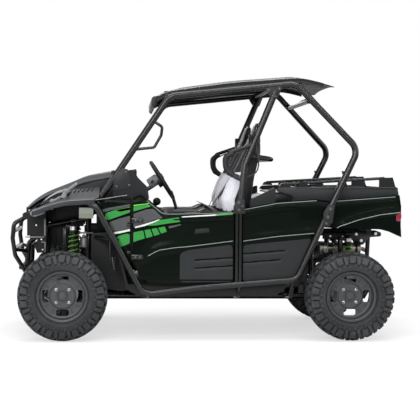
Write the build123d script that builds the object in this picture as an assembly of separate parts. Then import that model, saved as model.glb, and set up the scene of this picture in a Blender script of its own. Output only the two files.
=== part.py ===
"""A two-seat side-by-side utility vehicle, one STEP file for each sub-part.

Frame: +X forward, +Y to the vehicle's left, +Z up, origin on the ground at the middle of its box.
Lengths are in millimetres. Pieces ahead of the doors are placed from the front axle, pieces behind
the doors from the rear axle, so the doors, floor, roof and side tubes span what lies between.
"""
import os
from math import cos, hypot, radians, sin

from build123d import *

# ---------------------------------------------------------------- overall sizes
WHEELBASE = 2180.0
FRONT_AXLE_X = 1078.0
REAR_AXLE_X = FRONT_AXLE_X - WHEELBASE
OVERALL_WIDTH = 1565.0
BODY_HALF_WIDTH = 664.0
RING_Y = 690.0
CAGE_HALF_WIDTH = 600.0
CAGE_HEIGHT = 1949.0
BELT_Z = 975.0
FLOOR_Z = 415.0
FLOOR_T = 15.0
RAIL_Z = 290.0
RAIL_Y = 215.0

# ---------------------------------------------------------------- tubes and sheet
CAGE_TUBE_R = 25.4
SIDE_TUBE_R = 22.0
FRAME_TUBE_R = 19.0
UPRIGHT_R = 17.5
CROSS_R = 16.0
BUMPER_TUBE_R = 17.0
ARM_TUBE_R = 14.0
PANEL_GAP = 14.0
PANEL_THICKNESS = 45.0
SEAT_GAP = 0.3
RUN_GAP = 5.0

# ---------------------------------------------------------------- wheels
TYRE_RADIUS = 336.0
FRONT_TYRE_WIDTH = 229.0
REAR_TYRE_WIDTH = 279.0
RIM_RADIUS = 177.8
RIM_FLANGE_R = 192.0
RIM_FLANGE_T = 8.0
RIM_WALL = 8.0
RIM_FIT = 0.3
FRONT_RIM_HALF = 89.0
REAR_RIM_HALF = 102.0
DISC_OFFSET = 38.0
DISC_T = 12.0
BOLT_CIRCLE = 137.0
BOLT_HOLE_R = 6.5
BOLT_COUNT = 4
WINDOW_RADIUS = 124.0
WINDOW_LONG = 92.0
WINDOW_WIDE = 52.0
HUB_R = 52.0
SPINDLE_R = 22.0
KINGPIN_Y = 505.0
REAR_CARRIER_Y = 445.0

# ---------------------------------------------------------------- steering
COLUMN_LEAN = 32.4
WHEEL_GRIP_R = 15.0
WHEEL_RING_R = 160.0
DRIVER_Y = 340.0
STEER_ARM_LENGTH = 105.0
TIE_ROD_R = 9.0
TIE_ROD_Z = TYRE_RADIUS + 56.0

# ---------------------------------------------------------------- doors, hood and bed
HINGE_X_AHEAD = -510.0
HINGE_BARREL_R = 9.0
HINGE_PIN_R = 4.0
PIN_FIT = 0.05
DOOR_HINGE_Y = BODY_HALF_WIDTH + 12.0
BED_PIVOT_Z = 800.0
BED_PIVOT_BEHIND = -228.0
BED_HALF_WIDTH = 575.0
BED_WALL = 30.0
BED_FLOOR_Z = 905.0
BED_TOP_Z = 1165.0
BED_PIN_R = 8.0
TAILGATE_T = 26.0
TAILGATE_GAP = 8.0
SMALL_PIN_R = 5.0
GATE_HINGE_Y = 300.0
HOOD_HALF = 335.0
HOOD_T = 30.0
HOOD_LINE = ((307, 985), (292, 1000), (238, 1054), (137, 1117), (-26, 1182), (-161, 1241), (-358, 1281))
HOOD_HINGE = (302.0, 974.0)
HOOD_HINGE_Y = 200.0
WINCH_Y = 123.8
WINCH_Z = 76.2
WINCH_HOLE_R = 4.5
WINCH_PLATE_Z = 590.0
RECEIVER_OUTER = 64.0
RECEIVER_INNER = 51.0
RECEIVER_Z = 400.0
RECEIVER_PIN_R = 8.15


def front(offset):
    """A station measured from the front axle, positive ahead of it."""
    return FRONT_AXLE_X + offset


def rear(offset):
    """A station measured from the rear axle, positive ahead of it."""
    return REAR_AXLE_X + offset


# ---------------------------------------------------------------- shape helpers
def block(x, y, z):
    """A box between low and high values of each axis."""
    size = [abs(b - a) for a, b in (x, y, z)]
    middle = [(a + b) / 2 for a, b in (x, y, z)]
    return Pos(*middle) * Box(*size)


def outline_wire(points, corner):
    """A closed outline with rounded corners."""
    if corner:
        return FilletPolyline(*points, radius=corner, close=True)
    return Polyline(*points, close=True)


def side_plate(outline, y_low, y_high, corner=0.0):
    """A plate with a side-view outline of (x, z) points, filling y_low to y_high."""
    wire = outline_wire([(x, y_low, z) for x, z in outline], corner)
    return extrude(make_face(wire), amount=y_high - y_low, dir=(0, 1, 0))


def strip(line, thickness, y_low, y_high):
    """A bent sheet that hangs thickness below a side-view line of (x, z) points."""
    under = [(x, z - thickness) for x, z in reversed(line)]
    return side_plate(list(line) + under, y_low, y_high)


def tube(points, radius, bend=0.0):
    """A round tube along straight runs, with bends of one centre-line radius."""
    if len(points) == 2:
        path = Line(*points)
    else:
        path = FilletPolyline(*points, radius=bend)
    section = Plane(origin=path @ 0, z_dir=path % 0) * Circle(radius)
    return sweep(section, path=path)


def rod(start, end, radius):
    """A straight round bar."""
    return tube([start, end], radius)


def disc(centre, radius, y_low, y_high):
    """A cylinder across the vehicle."""
    x, z = centre
    middle = Pos(x, (y_low + y_high) / 2, z) * Rot(90, 0, 0)
    return middle * Cylinder(radius, y_high - y_low)


def post(x, y, radius, z_low, z_high):
    """An upright cylinder."""
    return Pos(x, y, (z_low + z_high) / 2) * Cylinder(radius, z_high - z_low)


def fused(pieces):
    """One solid from pieces that overlap."""
    return pieces[0].fuse(*pieces[1:])


def group(pieces):
    """Separate pieces as the solids of one node."""
    return Compound(children=[solid for piece in pieces for solid in piece.solids()])


def coped(shape, cutter):
    """A piece cut back to the surface of what it is welded to or notched round."""
    return group([solid - cutter for solid in shape.solids()])


def mirrored(shape):
    """The same piece on the vehicle's right."""
    return mirror(shape, about=Plane.XZ)


def both(shape):
    """A piece and its mirror image, as solids of one node."""
    return group([shape, mirrored(shape)])


def revolved(profile, centre_x, centre_z):
    """A ring turned about the wheel's axle from (y, r) points."""
    points = [(centre_x, y, centre_z + r) for y, r in profile]
    face = make_face(Polyline(*points, close=True))
    return revolve(face, axis=Axis((centre_x, 0, centre_z), (0, 1, 0)))


# ---------------------------------------------------------------- wheels
def wheel_sizes(is_front):
    """Axle x, tyre width and half rim width of a front or rear wheel."""
    if is_front:
        return FRONT_AXLE_X, FRONT_TYRE_WIDTH, FRONT_RIM_HALF
    return REAR_AXLE_X, REAR_TYRE_WIDTH, REAR_RIM_HALF


def tyre(is_front):
    """The left tyre: a ring with round shoulders, seated on its rim."""
    x, width, rim_half = wheel_sizes(is_front)
    middle = OVERALL_WIDTH / 2 - width / 2
    half = width / 2
    bead = rim_half - RIM_FLANGE_T - RIM_FIT
    side = [
        (bead, RIM_RADIUS + RIM_FIT),
        (bead, RIM_FLANGE_R + 6),
        (half - 6, RIM_FLANGE_R + 34),
        (half, TYRE_RADIUS - 78),
        (half - 8, TYRE_RADIUS - 32),
        (half - 34, TYRE_RADIUS - 4),
        (half - 70, TYRE_RADIUS),
    ]
    left = [(middle - y, r) for y, r in side]
    right = [(middle + y, r) for y, r in reversed(side)]
    return revolved(left + right, x, TYRE_RADIUS)


def rim(is_front):
    """The left rim: barrel, flanges, a disc with four windows and a hub boss behind it."""
    x, width, rim_half = wheel_sizes(is_front)
    middle = OVERALL_WIDTH / 2 - width / 2
    low, high = middle - rim_half, middle + rim_half
    inner = RIM_RADIUS - RIM_WALL
    barrel = revolved([
        (low, inner), (low, RIM_FLANGE_R), (low + RIM_FLANGE_T, RIM_FLANGE_R),
        (low + RIM_FLANGE_T, RIM_RADIUS), (high - RIM_FLANGE_T, RIM_RADIUS),
        (high - RIM_FLANGE_T, RIM_FLANGE_R), (high, RIM_FLANGE_R), (high, inner),
    ], x, TYRE_RADIUS)
    face_y = middle + DISC_OFFSET
    plate = disc((x, TYRE_RADIUS), inner + 1, face_y - DISC_T, face_y)
    boss = disc((x, TYRE_RADIUS), HUB_R, hub_face(is_front), face_y - 1)
    wheel = barrel + plate + boss
    for quarter in range(4):
        angle = quarter * 90
        window = block((-WINDOW_LONG / 2, WINDOW_LONG / 2), (-DISC_T, DISC_T),
                       (WINDOW_RADIUS - WINDOW_WIDE / 2, WINDOW_RADIUS + WINDOW_WIDE / 2))
        window = fillet(window.edges().filter_by(Axis.Y), WINDOW_WIDE / 3)
        wheel -= Pos(x, face_y - DISC_T / 2, TYRE_RADIUS) * Rot(0, angle, 0) * window
    for number in range(BOLT_COUNT):
        turn = radians(45 + 360 / BOLT_COUNT * number)
        hole_x = x + BOLT_CIRCLE / 2 * cos(turn)
        hole_z = TYRE_RADIUS + BOLT_CIRCLE / 2 * sin(turn)
        wheel -= disc((hole_x, hole_z), BOLT_HOLE_R, face_y - DISC_T - 1, face_y + 1)
    return wheel - disc((x, TYRE_RADIUS), SPINDLE_R + RIM_FIT, hub_face(is_front) - 1, face_y - DISC_T)


def hub_face(is_front):
    """Where the wheel's hub boss starts, outboard of the piece that carries it."""
    return (KINGPIN_Y + 40 if is_front else REAR_CARRIER_Y + 35) + RUN_GAP


# ---------------------------------------------------------------- axle ends and suspension
LOWER_ARM_Z = 240.0
UPPER_ARM_Z = 452.0
MID_RAIL_Z = 440.0
BALL_R = 20.0
SHOCK_R = 30.0
SHOCK_EYE_R = 18.0
SHOCK_BACK = 55.0
SHOCK_TRAY_Z = LOWER_ARM_Z + 42.0
ARM_SLEEVE_R = ARM_TUBE_R + 5.0
ARM_PIVOT_Y = RAIL_Y + FRAME_TUBE_R + ARM_SLEEVE_R + SEAT_GAP
FRONT_SHOCK_TOP = (-SHOCK_BACK - 8.0, 330.0, 880.0)
REAR_SHOCK_TOP = (-SHOCK_BACK + 8.0, 315.0, 790.0)


def spindle(x, y_start, is_front):
    """The stub that a wheel turns on."""
    _, width, _ = wheel_sizes(is_front)
    face_y = OVERALL_WIDTH / 2 - width / 2 + DISC_OFFSET
    return disc((x, TYRE_RADIUS), SPINDLE_R, y_start, face_y - DISC_T - RUN_GAP)


def knuckle():
    """The left steering knuckle, between its two ball joints."""
    x = FRONT_AXLE_X
    z_low = LOWER_ARM_Z + BALL_R + SEAT_GAP
    z_high = UPPER_ARM_Z - BALL_R - SEAT_GAP
    upright = block((x - 28, x + 28), (KINGPIN_Y - 16, KINGPIN_Y + 18), (z_low, z_high))
    housing = disc((x, TYRE_RADIUS), 55, KINGPIN_Y - 16, KINGPIN_Y + 40)
    arm_low = TIE_ROD_Z + 14
    arm = block((x - STEER_ARM_LENGTH - 14, x), (KINGPIN_Y - 34, KINGPIN_Y - 6), (arm_low, arm_low + 14))
    return fused([upright, housing, arm, spindle(x, KINGPIN_Y, True)])


def wishbone(x, z_in, half_base, y_out, z_out, half_tip):
    """A left suspension arm: two tubes from the frame to one round boss."""
    pieces = [post(x, y_out, BALL_R, z_out - BALL_R, z_out + BALL_R)]
    for side in (-1, 1):
        inner = (x + side * half_base, ARM_PIVOT_Y, z_in)
        knee = (x + side * half_tip, y_out - 45, z_out)
        pieces.append(tube([inner, knee, (x, y_out, z_out)], ARM_TUBE_R, 16))
        low, high = inner[0] - 24, inner[0] + 24
        pieces.append(rod((low, ARM_PIVOT_Y, z_in), (high, ARM_PIVOT_Y, z_in), ARM_SLEEVE_R))
    return fused(pieces)


def arm_pair(x, y_out):
    """Lower arm with the shock's tray, and upper arm, on the left."""
    lower = wishbone(x, RAIL_Z, 165, y_out, LOWER_ARM_Z, 26)
    upper = wishbone(x, MID_RAIL_Z, 200, y_out, UPPER_ARM_Z, 62)
    tray_y = shock_foot_y(y_out)
    tray = block((x - SHOCK_BACK - 40, x + 60), (tray_y - 20, tray_y + 20), (LOWER_ARM_Z + 8, SHOCK_TRAY_Z))
    return group([fused([lower, tray]), upper])


def shock_foot_y(y_out):
    """How far out a shock's lower eye stands on its arm."""
    return y_out - 113


def front_arms():
    """Upper and lower front arms, left and right."""
    return both(arm_pair(FRONT_AXLE_X, KINGPIN_Y))


def rear_arms():
    """Upper and lower rear arms, left and right."""
    return both(arm_pair(REAR_AXLE_X, REAR_CARRIER_Y))


def rear_hubs():
    """The rear hub carriers with their stub axles."""
    x = REAR_AXLE_X
    upright = block((x - 30, x + 30), (REAR_CARRIER_Y - 18, REAR_CARRIER_Y + 18),
                    (LOWER_ARM_Z + BALL_R, UPPER_ARM_Z - BALL_R))
    housing = disc((x, TYRE_RADIUS), 60, REAR_CARRIER_Y - 18, REAR_CARRIER_Y + 35)
    return both(fused([upright, housing, spindle(x, REAR_CARRIER_Y, False)]))


def shock(top, bottom):
    """A damper with its spring as one round body, an eye at each end."""
    direction = [(b - t) for t, b in zip(top, bottom)]
    length = hypot(*direction)
    unit = [d / length for d in direction]
    start = tuple(t + 40 * u for t, u in zip(top, unit))
    end = tuple(b - 40 * u for b, u in zip(bottom, unit))
    pieces = [rod(start, end, SHOCK_R), rod(top, bottom, 14)]
    for spot in (top, bottom):
        pieces.append(Pos(*spot) * Rot(0, 90, 0) * Cylinder(SHOCK_EYE_R, 36))
    return fused(pieces)


def shocks():
    """The four dampers, standing on the lower arms behind the half shafts."""
    eye_z = SHOCK_TRAY_Z + SHOCK_EYE_R + SEAT_GAP
    pieces = []
    table = (
        # axle x, top (x offset, y, z), ball joint y
        (FRONT_AXLE_X, FRONT_SHOCK_TOP, KINGPIN_Y),
        (REAR_AXLE_X, REAR_SHOCK_TOP, REAR_CARRIER_Y),
    )
    for x, (top_x, top_y, top_z), y_out in table:
        one = shock((x + top_x, top_y, top_z), (x - SHOCK_BACK, shock_foot_y(y_out), eye_z))
        pieces.append(both(one))
    return group(pieces)


FRONT_CASE_R = 60.0
REAR_CASE_R = 64.0
PROP_SHAFT_R = 18.0


def drive_line():
    """The gearcases with their half shafts, and the shaft that joins them."""
    front_end = KINGPIN_Y - 40
    rear_end = REAR_CARRIER_Y - 18 - SEAT_GAP
    z = TYRE_RADIUS
    return fused([
        rod((front(0), 0, z), (rear(0), 0, z), PROP_SHAFT_R),
        disc((front(0), z), FRONT_CASE_R, -95, 95),
        disc((rear(0), z), REAR_CASE_R, -120, 120),
        rod((front(0), -front_end, z), (front(0), front_end, z), 15),
        rod((rear(0), -rear_end, z), (rear(0), rear_end, z), 17),
    ])


def steering_rack():
    """The rack with its two tie rods, which slides across under the knuckle arms."""
    x, z = front(-STEER_ARM_LENGTH), TIE_ROD_Z
    end = KINGPIN_Y - 20
    pieces = [rod((x, -end, z), (x, end, z), TIE_ROD_R)]
    for side in (-1, 1):
        pieces.append(post(x, side * end, 13, z - 10, z + 12))
    return fused(pieces)


RACK_HOUSING_R = 25.0
RACK_BAR_X = -187.0


def steering_column():
    """The column from the rack's housing up to the steering wheel, with the housing and its lugs."""
    x, z = front(-STEER_ARM_LENGTH), TIE_ROD_Z
    pieces = [disc((x, z), RACK_HOUSING_R, -150, 150)]
    for side in (-1, 1):
        lug_end = front(RACK_BAR_X) + CROSS_R + SEAT_GAP
        pieces.append(block((lug_end, x), (side * 120 - 12, side * 120 + 12), (z - 12, z + 12)))
    knee = column_point(-450)
    pieces.append(tube([(x - 6, 60, z + 4), knee, column_point(-44 - SEAT_GAP)], 16, 60))
    return fused(pieces) - disc((x, z), TIE_ROD_R + SEAT_GAP, -151, 151)


def column_point(along):
    """A point on the steering wheel's axis, positive towards the driver."""
    lean = radians(COLUMN_LEAN)
    return (front(-750) - along * cos(lean), DRIVER_Y, 1207 + along * sin(lean))


def steering_wheel():
    """Ring, hub and three spokes, built flat and laid on the column's axis."""
    pieces = [Torus(WHEEL_RING_R, WHEEL_GRIP_R), Pos(0, 0, -22) * Cylinder(44, 44)]
    for angle in (90, 210, 330):
        pieces.append(Rot(0, 0, angle) * Pos(WHEEL_RING_R / 2, 0, -8) * Box(WHEEL_RING_R, 30, 10))
    lean = radians(COLUMN_LEAN)
    plane = Plane(origin=column_point(0), x_dir=(0, -1, 0), z_dir=(-cos(lean), 0, sin(lean)))
    return plane * fused(pieces)


# ---------------------------------------------------------------- frame and cage
def side_ring():
    """Named corners of the tubes round the left side of the cabin."""
    return {
        "pillar_foot": (front(-265), 572, 1050),
        "roof_front": (front(-794), CAGE_HALF_WIDTH, CAGE_HEIGHT - 104),
        "roof_rear": (rear(420), CAGE_HALF_WIDTH, CAGE_HEIGHT),
        "rear_bend": (rear(-54), 660, CAGE_HEIGHT - 496),
        "leg_joint": (rear(185), RING_Y, 958),
        "rear_bottom": (rear(412), RING_Y, 460),
        "sill": (front(-980), RING_Y, 396),
        "front_bottom": (front(-600), RING_Y, 348),
        "front_knee": (front(-252), RING_Y, 1003),
        "fender_end": (front(-175), 668, 1042),
    }


def cage_sides():
    """The upper loop on each side: pillar, roof rail and rear leg, with the slanted middle pillar."""
    ring = side_ring()
    order = ("pillar_foot", "roof_front", "roof_rear", "rear_bend", "leg_joint")
    loop = tube([ring[name] for name in order], CAGE_TUBE_R, 110)
    top = (rear(560), CAGE_HALF_WIDTH, CAGE_HEIGHT - 15)
    foot = (rear(850), RING_Y, BELT_Z)
    middle = tube([top, pillar_elbow(), foot], CAGE_TUBE_R, 120)
    return both(fused([loop, middle]))


def pillar_elbow():
    """Where the middle pillar turns upright at the shoulder."""
    return (rear(815), 664, 1327)


def side_tubes():
    """The lower loop on each side, with the pair of posts behind the door."""
    ring = side_ring()
    order = ("fender_end", "front_knee", "front_bottom", "sill", "rear_bottom", "leg_joint")
    corners = [ring[name] for name in order]
    pieces = [tube(corners, SIDE_TUBE_R, [60, 110, 110, 110])]
    for number in (0, 1):
        pieces.append(post(post_x(number), RING_Y, 12.5, 412, BELT_Z))
    return both(fused(pieces))


def post_x(number):
    """Centre of each of the two posts behind the door."""
    return rear(873) - 27 * number


def cage_cross_tubes():
    """Tubes across the cage, and the shoulder tube that bows out behind the seats."""
    bars = []
    table = (
        # x, z, radius
        (front(-780), CAGE_HEIGHT - 102, 19),
        (rear(600), CAGE_HEIGHT - 30, 19),
        (rear(306), CAGE_HEIGHT - 119, 22),
    )
    for x, z, radius in table:
        bars.append(rod((x, -CAGE_HALF_WIDTH, z), (x, CAGE_HALF_WIDTH, z), radius))
    bar_x, bar_y, bar_z = rear(602), 590, 1375
    pillar = (rear(784), 653, 1400)
    bars.append(tube([
        pillar, (bar_x, bar_y, bar_z), (bar_x, -bar_y, bar_z), (pillar[0], -pillar[1], pillar[2]),
    ], 19, 60))
    return group(bars)


BRACE_Z = 760.0


def brace_ends():
    """The arm from the side ring's sloping run in to the front upright."""
    return [(ring_x(BRACE_Z), RING_Y, BRACE_Z), (front(-176), RAIL_Y, BRACE_Z)]


def outriggers():
    """Where the arms from the rails meet the side tubes, as x and z."""
    return ((front(-640), 352), (front(-1330), 418), (rear(440), 459))


def main_frame():
    """The chassis: lower rails, uprights, upper rails, cross members and outriggers."""
    y = RAIL_Y
    top_front, top_rear = 900, 790
    rails = (
        [(front(300), y, 470), (front(180), y, RAIL_Z), (rear(-190), y, RAIL_Z), (rear(-250), y, 400)],
        [(front(-185), y, top_front), (front(150), y, 840), (front(290), y, 700), (front(300), y, 470)],
        [(rear(655), y, top_rear), (rear(-300), y, top_rear)],
    )
    uprights = (
        [(front(-190), y, RAIL_Z), (front(-170), y, top_front)],
        [(front(190), y, RAIL_Z), (front(150), y, 840)],
        [(rear(230), y, RAIL_Z), (rear(230), y, top_rear)],
        [(rear(-210), y, RAIL_Z + 4), (rear(-230), y, top_rear)],
        [(rear(640), y, RAIL_Z), (rear(640), y, top_rear)],
    )
    arms = (
        [(front(-240), y, MID_RAIL_Z), (front(290), y, MID_RAIL_Z)],
        [(front(-170), y, top_front - 6), (front(-265), y, 1000), (front(-265), 560, 1045)],
        [(rear(260), y, MID_RAIL_Z), (rear(-244), y, MID_RAIL_Z)],
        [(rear(640), y, top_rear - 3), (rear(300), 606, top_rear - 3)],
        brace_ends(),
    )
    arms += tuple([(x, y, RAIL_Z), (x, 545, RAIL_Z + 32), (x, RING_Y, z)] for x, z in outriggers())
    pieces = []
    for runs, radius in ((rails, FRAME_TUBE_R), (uprights, UPRIGHT_R), (arms, CROSS_R)):
        for run in runs:
            piece = tube(run, radius, 40)
            pieces += [piece, mirrored(piece)]
    cross_table = (
        # x, z
        (front(180), RAIL_Z), (front(-700), RAIL_Z), (front(-1330), RAIL_Z), (rear(-180), RAIL_Z),
        (front(-160), top_front - 6), (front(150), 842), (rear(250), top_rear), (rear(-250), top_rear),
        (rear(625), top_rear), (front(290), 690), (front(RACK_BAR_X), TIE_ROD_Z),
        (rear(-248), RECEIVER_Z),
    )
    for x, z in cross_table:
        pieces.append(rod((x, -y, z), (x, y, z), CROSS_R))
    for axle, (top_x, top_y, top_z) in ((FRONT_AXLE_X, FRONT_SHOCK_TOP), (REAR_AXLE_X, REAR_SHOCK_TOP)):
        start = (axle + top_x, y - 8, top_z)
        end = (axle + top_x, top_y - SHOCK_EYE_R - SEAT_GAP, top_z)
        mount = rod(start, end, CROSS_R - 1)
        pieces += [mount, mirrored(mount)]
    pivot = (rear(BED_PIVOT_BEHIND), BED_PIVOT_Z)
    pieces.append(disc(pivot, BED_PIN_R, -262, 262))
    stand_table = (
        # x, foot, top
        (rear(300), top_rear, BED_FLOOR_Z - 25 - SEAT_GAP),
        (front(-740), RAIL_Z, FLOOR_Z - FLOOR_T - SEAT_GAP),
        (front(-1290), RAIL_Z, FLOOR_Z - FLOOR_T - SEAT_GAP),
    )
    for x, z_low, z_high in stand_table:
        for side in (-1, 1):
            pieces.append(post(x, side * y, 12, z_low, z_high))
    return fused(pieces)


def hitch_receiver():
    """The square socket for a drawbar behind the frame, with its cross pin hole."""
    outer, inner, z = RECEIVER_OUTER / 2, RECEIVER_INNER / 2, RECEIVER_Z
    ahead = rear(-248) - CROSS_R - SEAT_GAP
    behind = ahead - 95
    socket = block((behind, ahead), (-outer, outer), (z - outer, z + outer))
    socket -= block((behind - 1, ahead - 6), (-inner, inner), (z - inner, z + inner))
    return socket - disc((behind + 40, z), RECEIVER_PIN_R, -outer - 1, outer + 1)


def skid_plate():
    """The belly plate under the rails, turned up at both ends."""
    low = RAIL_Z - FRAME_TUBE_R - SEAT_GAP
    line = [(front(318), 450), (front(196), low), (rear(-206), low), (rear(-262), 372)]
    return strip(line, 4, -RAIL_Y - 20, RAIL_Y + 20)


def floor_pan():
    """The cabin floor with its toe board and the sills under the doors."""
    cabin = BODY_HALF_WIDTH - PANEL_THICKNESS - PANEL_GAP
    sill = side_plate([
        (front(-470), FLOOR_Z), (front(-470), 385), (front(-560), 330), (rear(560), 330),
        (rear(480), 395), (rear(480), FLOOR_Z),
    ], -cabin, cabin)
    under = side_plate([
        (front(-420), FLOOR_Z - FLOOR_T), (front(-500), FLOOR_Z - FLOOR_T), (rear(440), FLOOR_Z - FLOOR_T),
        (rear(440), 300), (front(-420), 300),
    ], -cabin + 8, cabin - 8)
    toe = side_plate([
        (front(-470), FLOOR_Z - 5), (front(-490), FLOOR_Z - 5), (front(-400), 760), (front(-400), 940),
        (front(-385), 940), (front(-385), 755),
    ], -cabin, cabin)
    bay = block((rear(220), rear(612)), (-190, 190), (300, FLOOR_Z + 1))
    pan = fused([sill - under - bay, toe])
    for side in (-1, 1):
        pan -= post(rear(640), side * RAIL_Y, FRAME_TUBE_R + RUN_GAP, FLOOR_Z - 20, FLOOR_Z + 1)
        for x, _ in outriggers():
            notch = FRAME_TUBE_R + RUN_GAP
            pan -= block((x - notch, x + notch), (side * (cabin - 20), side * (cabin + 1)), (320, 404))
    return pan


def rear_panel():
    """The panel behind the seats, from the floor up to the bed's height."""
    return block((rear(700), rear(714)), (-600, 600), (FLOOR_Z + SEAT_GAP, 1040))


# ---------------------------------------------------------------- outer panels
def ring_x(z):
    """The x of the sloping front run of the side ring at height z."""
    ring = side_ring()
    (xa, _, za), (xb, _, zb) = ring["pillar_foot"], ring["front_bottom"]
    return xb + (xa - xb) * (z - zb) / (za - zb)


def leg_x(z):
    """The x of the rear run of the side ring at height z."""
    ring = side_ring()
    (xa, _, za), (xb, _, zb) = ring["leg_joint"], ring["rear_bottom"]
    return xb + (xa - xb) * (z - zb) / (za - zb)


def door_outline():
    """Side view of the left door."""
    slant = SIDE_TUBE_R / cos(radians(27)) + PANEL_GAP
    edge = front(HINGE_X_AHEAD) - PANEL_GAP
    back = post_x(0) + 12.5 + 8
    low = 424
    return [
        (edge, 1078), (front(-584), 1100), (front(-748), 962), (front(-860), BELT_Z - 12),
        (back, BELT_Z + 2), (back, low + 10), (front(-760), low), (ring_x(low) - slant - 60, low),
        (ring_x(480) - slant - 12, 480), (edge, 590),
    ]


def hinge_barrels():
    """The middle of each door barrel, and whether the fixed knuckle is above (1) or below (-1)."""
    return ((905, -1), (630, 1))


def door():
    """The left door: a full panel, its two hinge straps and barrels."""
    y_out = BODY_HALF_WIDTH
    pieces = [side_plate(door_outline(), y_out - PANEL_THICKNESS, y_out)]
    hinge_x = front(HINGE_X_AHEAD)
    for z, _ in hinge_barrels():
        pieces.append(block((hinge_x - 60, hinge_x), (y_out - 2, DOOR_HINGE_Y), (z - 17, z + 17)))
        pieces.append(post(hinge_x, DOOR_HINGE_Y, HINGE_BARREL_R, z - 17, z + 17))
    shape = fused(pieces)
    for z, _ in hinge_barrels():
        shape -= post(hinge_x, DOOR_HINGE_Y, HINGE_PIN_R + PIN_FIT, z - 18, z + 18)
    return shape


def cowl_panels():
    """The side panels ahead of the doors, with the fixed knuckle and pin of each door hinge."""
    hinge_x = front(HINGE_X_AHEAD)
    seam = hinge_x + 8
    y_out = BODY_HALF_WIDTH - 10
    outline = [
        (seam, 1074), (front(-330), 1090), (front(-262), 1030), (ring_x(930) + 6, 930),
        (ring_x(575) + 6, 575), (seam, 575),
    ]
    y_in = y_out - PANEL_THICKNESS
    pieces = [side_plate(outline, y_in, y_out)]
    pieces.append(block((hinge_x - 38, hinge_x + 32), (y_in - 8, y_in + 1), (585, 1066)))
    for z, way in hinge_barrels():
        near, far = sorted((z + way * (17 + SEAT_GAP), z + way * (35 + SEAT_GAP)))
        pieces.append(post(hinge_x, DOOR_HINGE_Y, HINGE_BARREL_R, near, far))
        pieces.append(block((hinge_x + 1, hinge_x + 28), (y_out - 4, DOOR_HINGE_Y + 2), (near, far)))
        pieces.append(post(hinge_x, DOOR_HINGE_Y, HINGE_PIN_R, z - 18, z + 18))
    brace = rod(*brace_ends(), CROSS_R + SEAT_GAP)
    return both(fused(pieces) - brace)


def quarter_panels():
    """The fixed panels behind the doors, up to the rear leg, with the jamb behind the two posts."""
    front_edge = post_x(1) - 12.5 - 8
    y_out = BODY_HALF_WIDTH - 8
    outline = [
        (front_edge, 1000), (rear(560), 1050), (rear(260), 1072), (leg_x(1060), 1060),
        (leg_x(500), 500), (leg_x(470) + 20, 470), (rear(520), 458), (front_edge, 436),
    ]
    y_in = y_out - PANEL_THICKNESS
    jamb = block((front_edge - 14, post_x(0) + 34), (y_in - 10, y_in + 1), (440, 985))
    return both(fused([side_plate(outline, y_in, y_out), jamb]))


def rear_fenders():
    """The panels beside the bed, over the rear wheels, out to the tail."""
    edge = 0.5
    y_out = BODY_HALF_WIDTH - 14
    outline = [
        (leg_x(1058) - edge, 1058), (rear(96), 1069), (rear(-380), 1108), (rear(-394), 1020),
        (rear(-392), 880), (rear(-398), 785), (rear(-300), 828), (rear(-230), 845), (rear(96), 850),
        (leg_x(860) - edge, 860),
    ]
    return both(side_plate(outline, BED_HALF_WIDTH + 15, y_out))


def front_fenders():
    """The fenders over the front wheels: a top, a turned-down lip, and a wall up to the hood's edge."""
    line = [(front(-240), 1060), (front(-120), 1052), (front(0), 1045), (front(110), 1012),
            (front(230), 965)]
    outer = BODY_HALF_WIDTH + 40
    inner = HOOD_HALF + 12
    top = strip(line, 28, inner, outer)
    lip = strip(line[1:], 45, outer - 20, outer)
    crest = [(front(x), z - 9) for x, z in reversed(HOOD_LINE[1:])]
    foot = [(front(-358), 1060)] + [(x, z - 14) for x, z in line] + [(front(278), 948)]
    wall = side_plate(crest + foot[::-1], inner, inner + 18)
    return both(fused([top, lip, wall]))


def hood():
    """The hood, hinged at its nose."""
    line = [(front(x), z) for x, z in HOOD_LINE]
    x, z = HOOD_HINGE
    shape = strip(line, HOOD_T, -HOOD_HALF, HOOD_HALF)
    for side in (-1, 1):
        y = side * HOOD_HINGE_Y
        shape -= block((front(x) - 25, front(x) + 20), (y - 8, y + 8), (z - 60, z + 60))
        shape -= disc((front(x), z), SMALL_PIN_R + PIN_FIT, y - 20, y + 20)
    return shape


def front_fascia():
    """The nose under the hood: brow with the hood's hinge lugs, side cheeks and lower panel."""
    brow_top = 947
    pieces = [side_plate([
        (front(250), 925), (front(325), 900), (front(330), 935), (front(315), brow_top),
        (front(250), brow_top),
    ], -HOOD_HALF, HOOD_HALF)]
    cheek = side_plate([
        (front(150), 975), (front(330), 935), (front(322), 900), (front(293), 895), (front(293), 768),
        (front(216), 768), (front(216), 634), (front(149), 640),
    ], HOOD_HALF - 40, HOOD_HALF + 10)
    pieces += [cheek, mirrored(cheek)]
    pieces.append(side_plate([
        (front(245), 705), (front(216), 636), (front(196), 636), (front(225), 705),
    ], -HOOD_HALF, HOOD_HALF))
    x, z = HOOD_HINGE
    for side in (-1, 1):
        y = side * HOOD_HINGE_Y
        pieces.append(block((front(x) - 8, front(x) + 8), (y - 6, y + 6), (brow_top - 5, z + 8)))
        pieces.append(disc((front(x), z), SMALL_PIN_R, y - 20, y + 20))
    return fused(pieces)


def headlights():
    """The two lamp units at the front corners."""
    lamp = side_plate([
        (front(-43), 1136), (front(42), 1126), (front(137), 1072), (front(205), 1000), (front(118), 998),
        (front(20), 1034), (front(-43), 1062),
    ], HOOD_HALF + 30, 560, 8)
    return both(lamp)


def radiator():
    """The radiator behind the nose, standing on the frame's cross tube."""
    return block((front(230), front(277)), (-270, 270), (730, 918))


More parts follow.
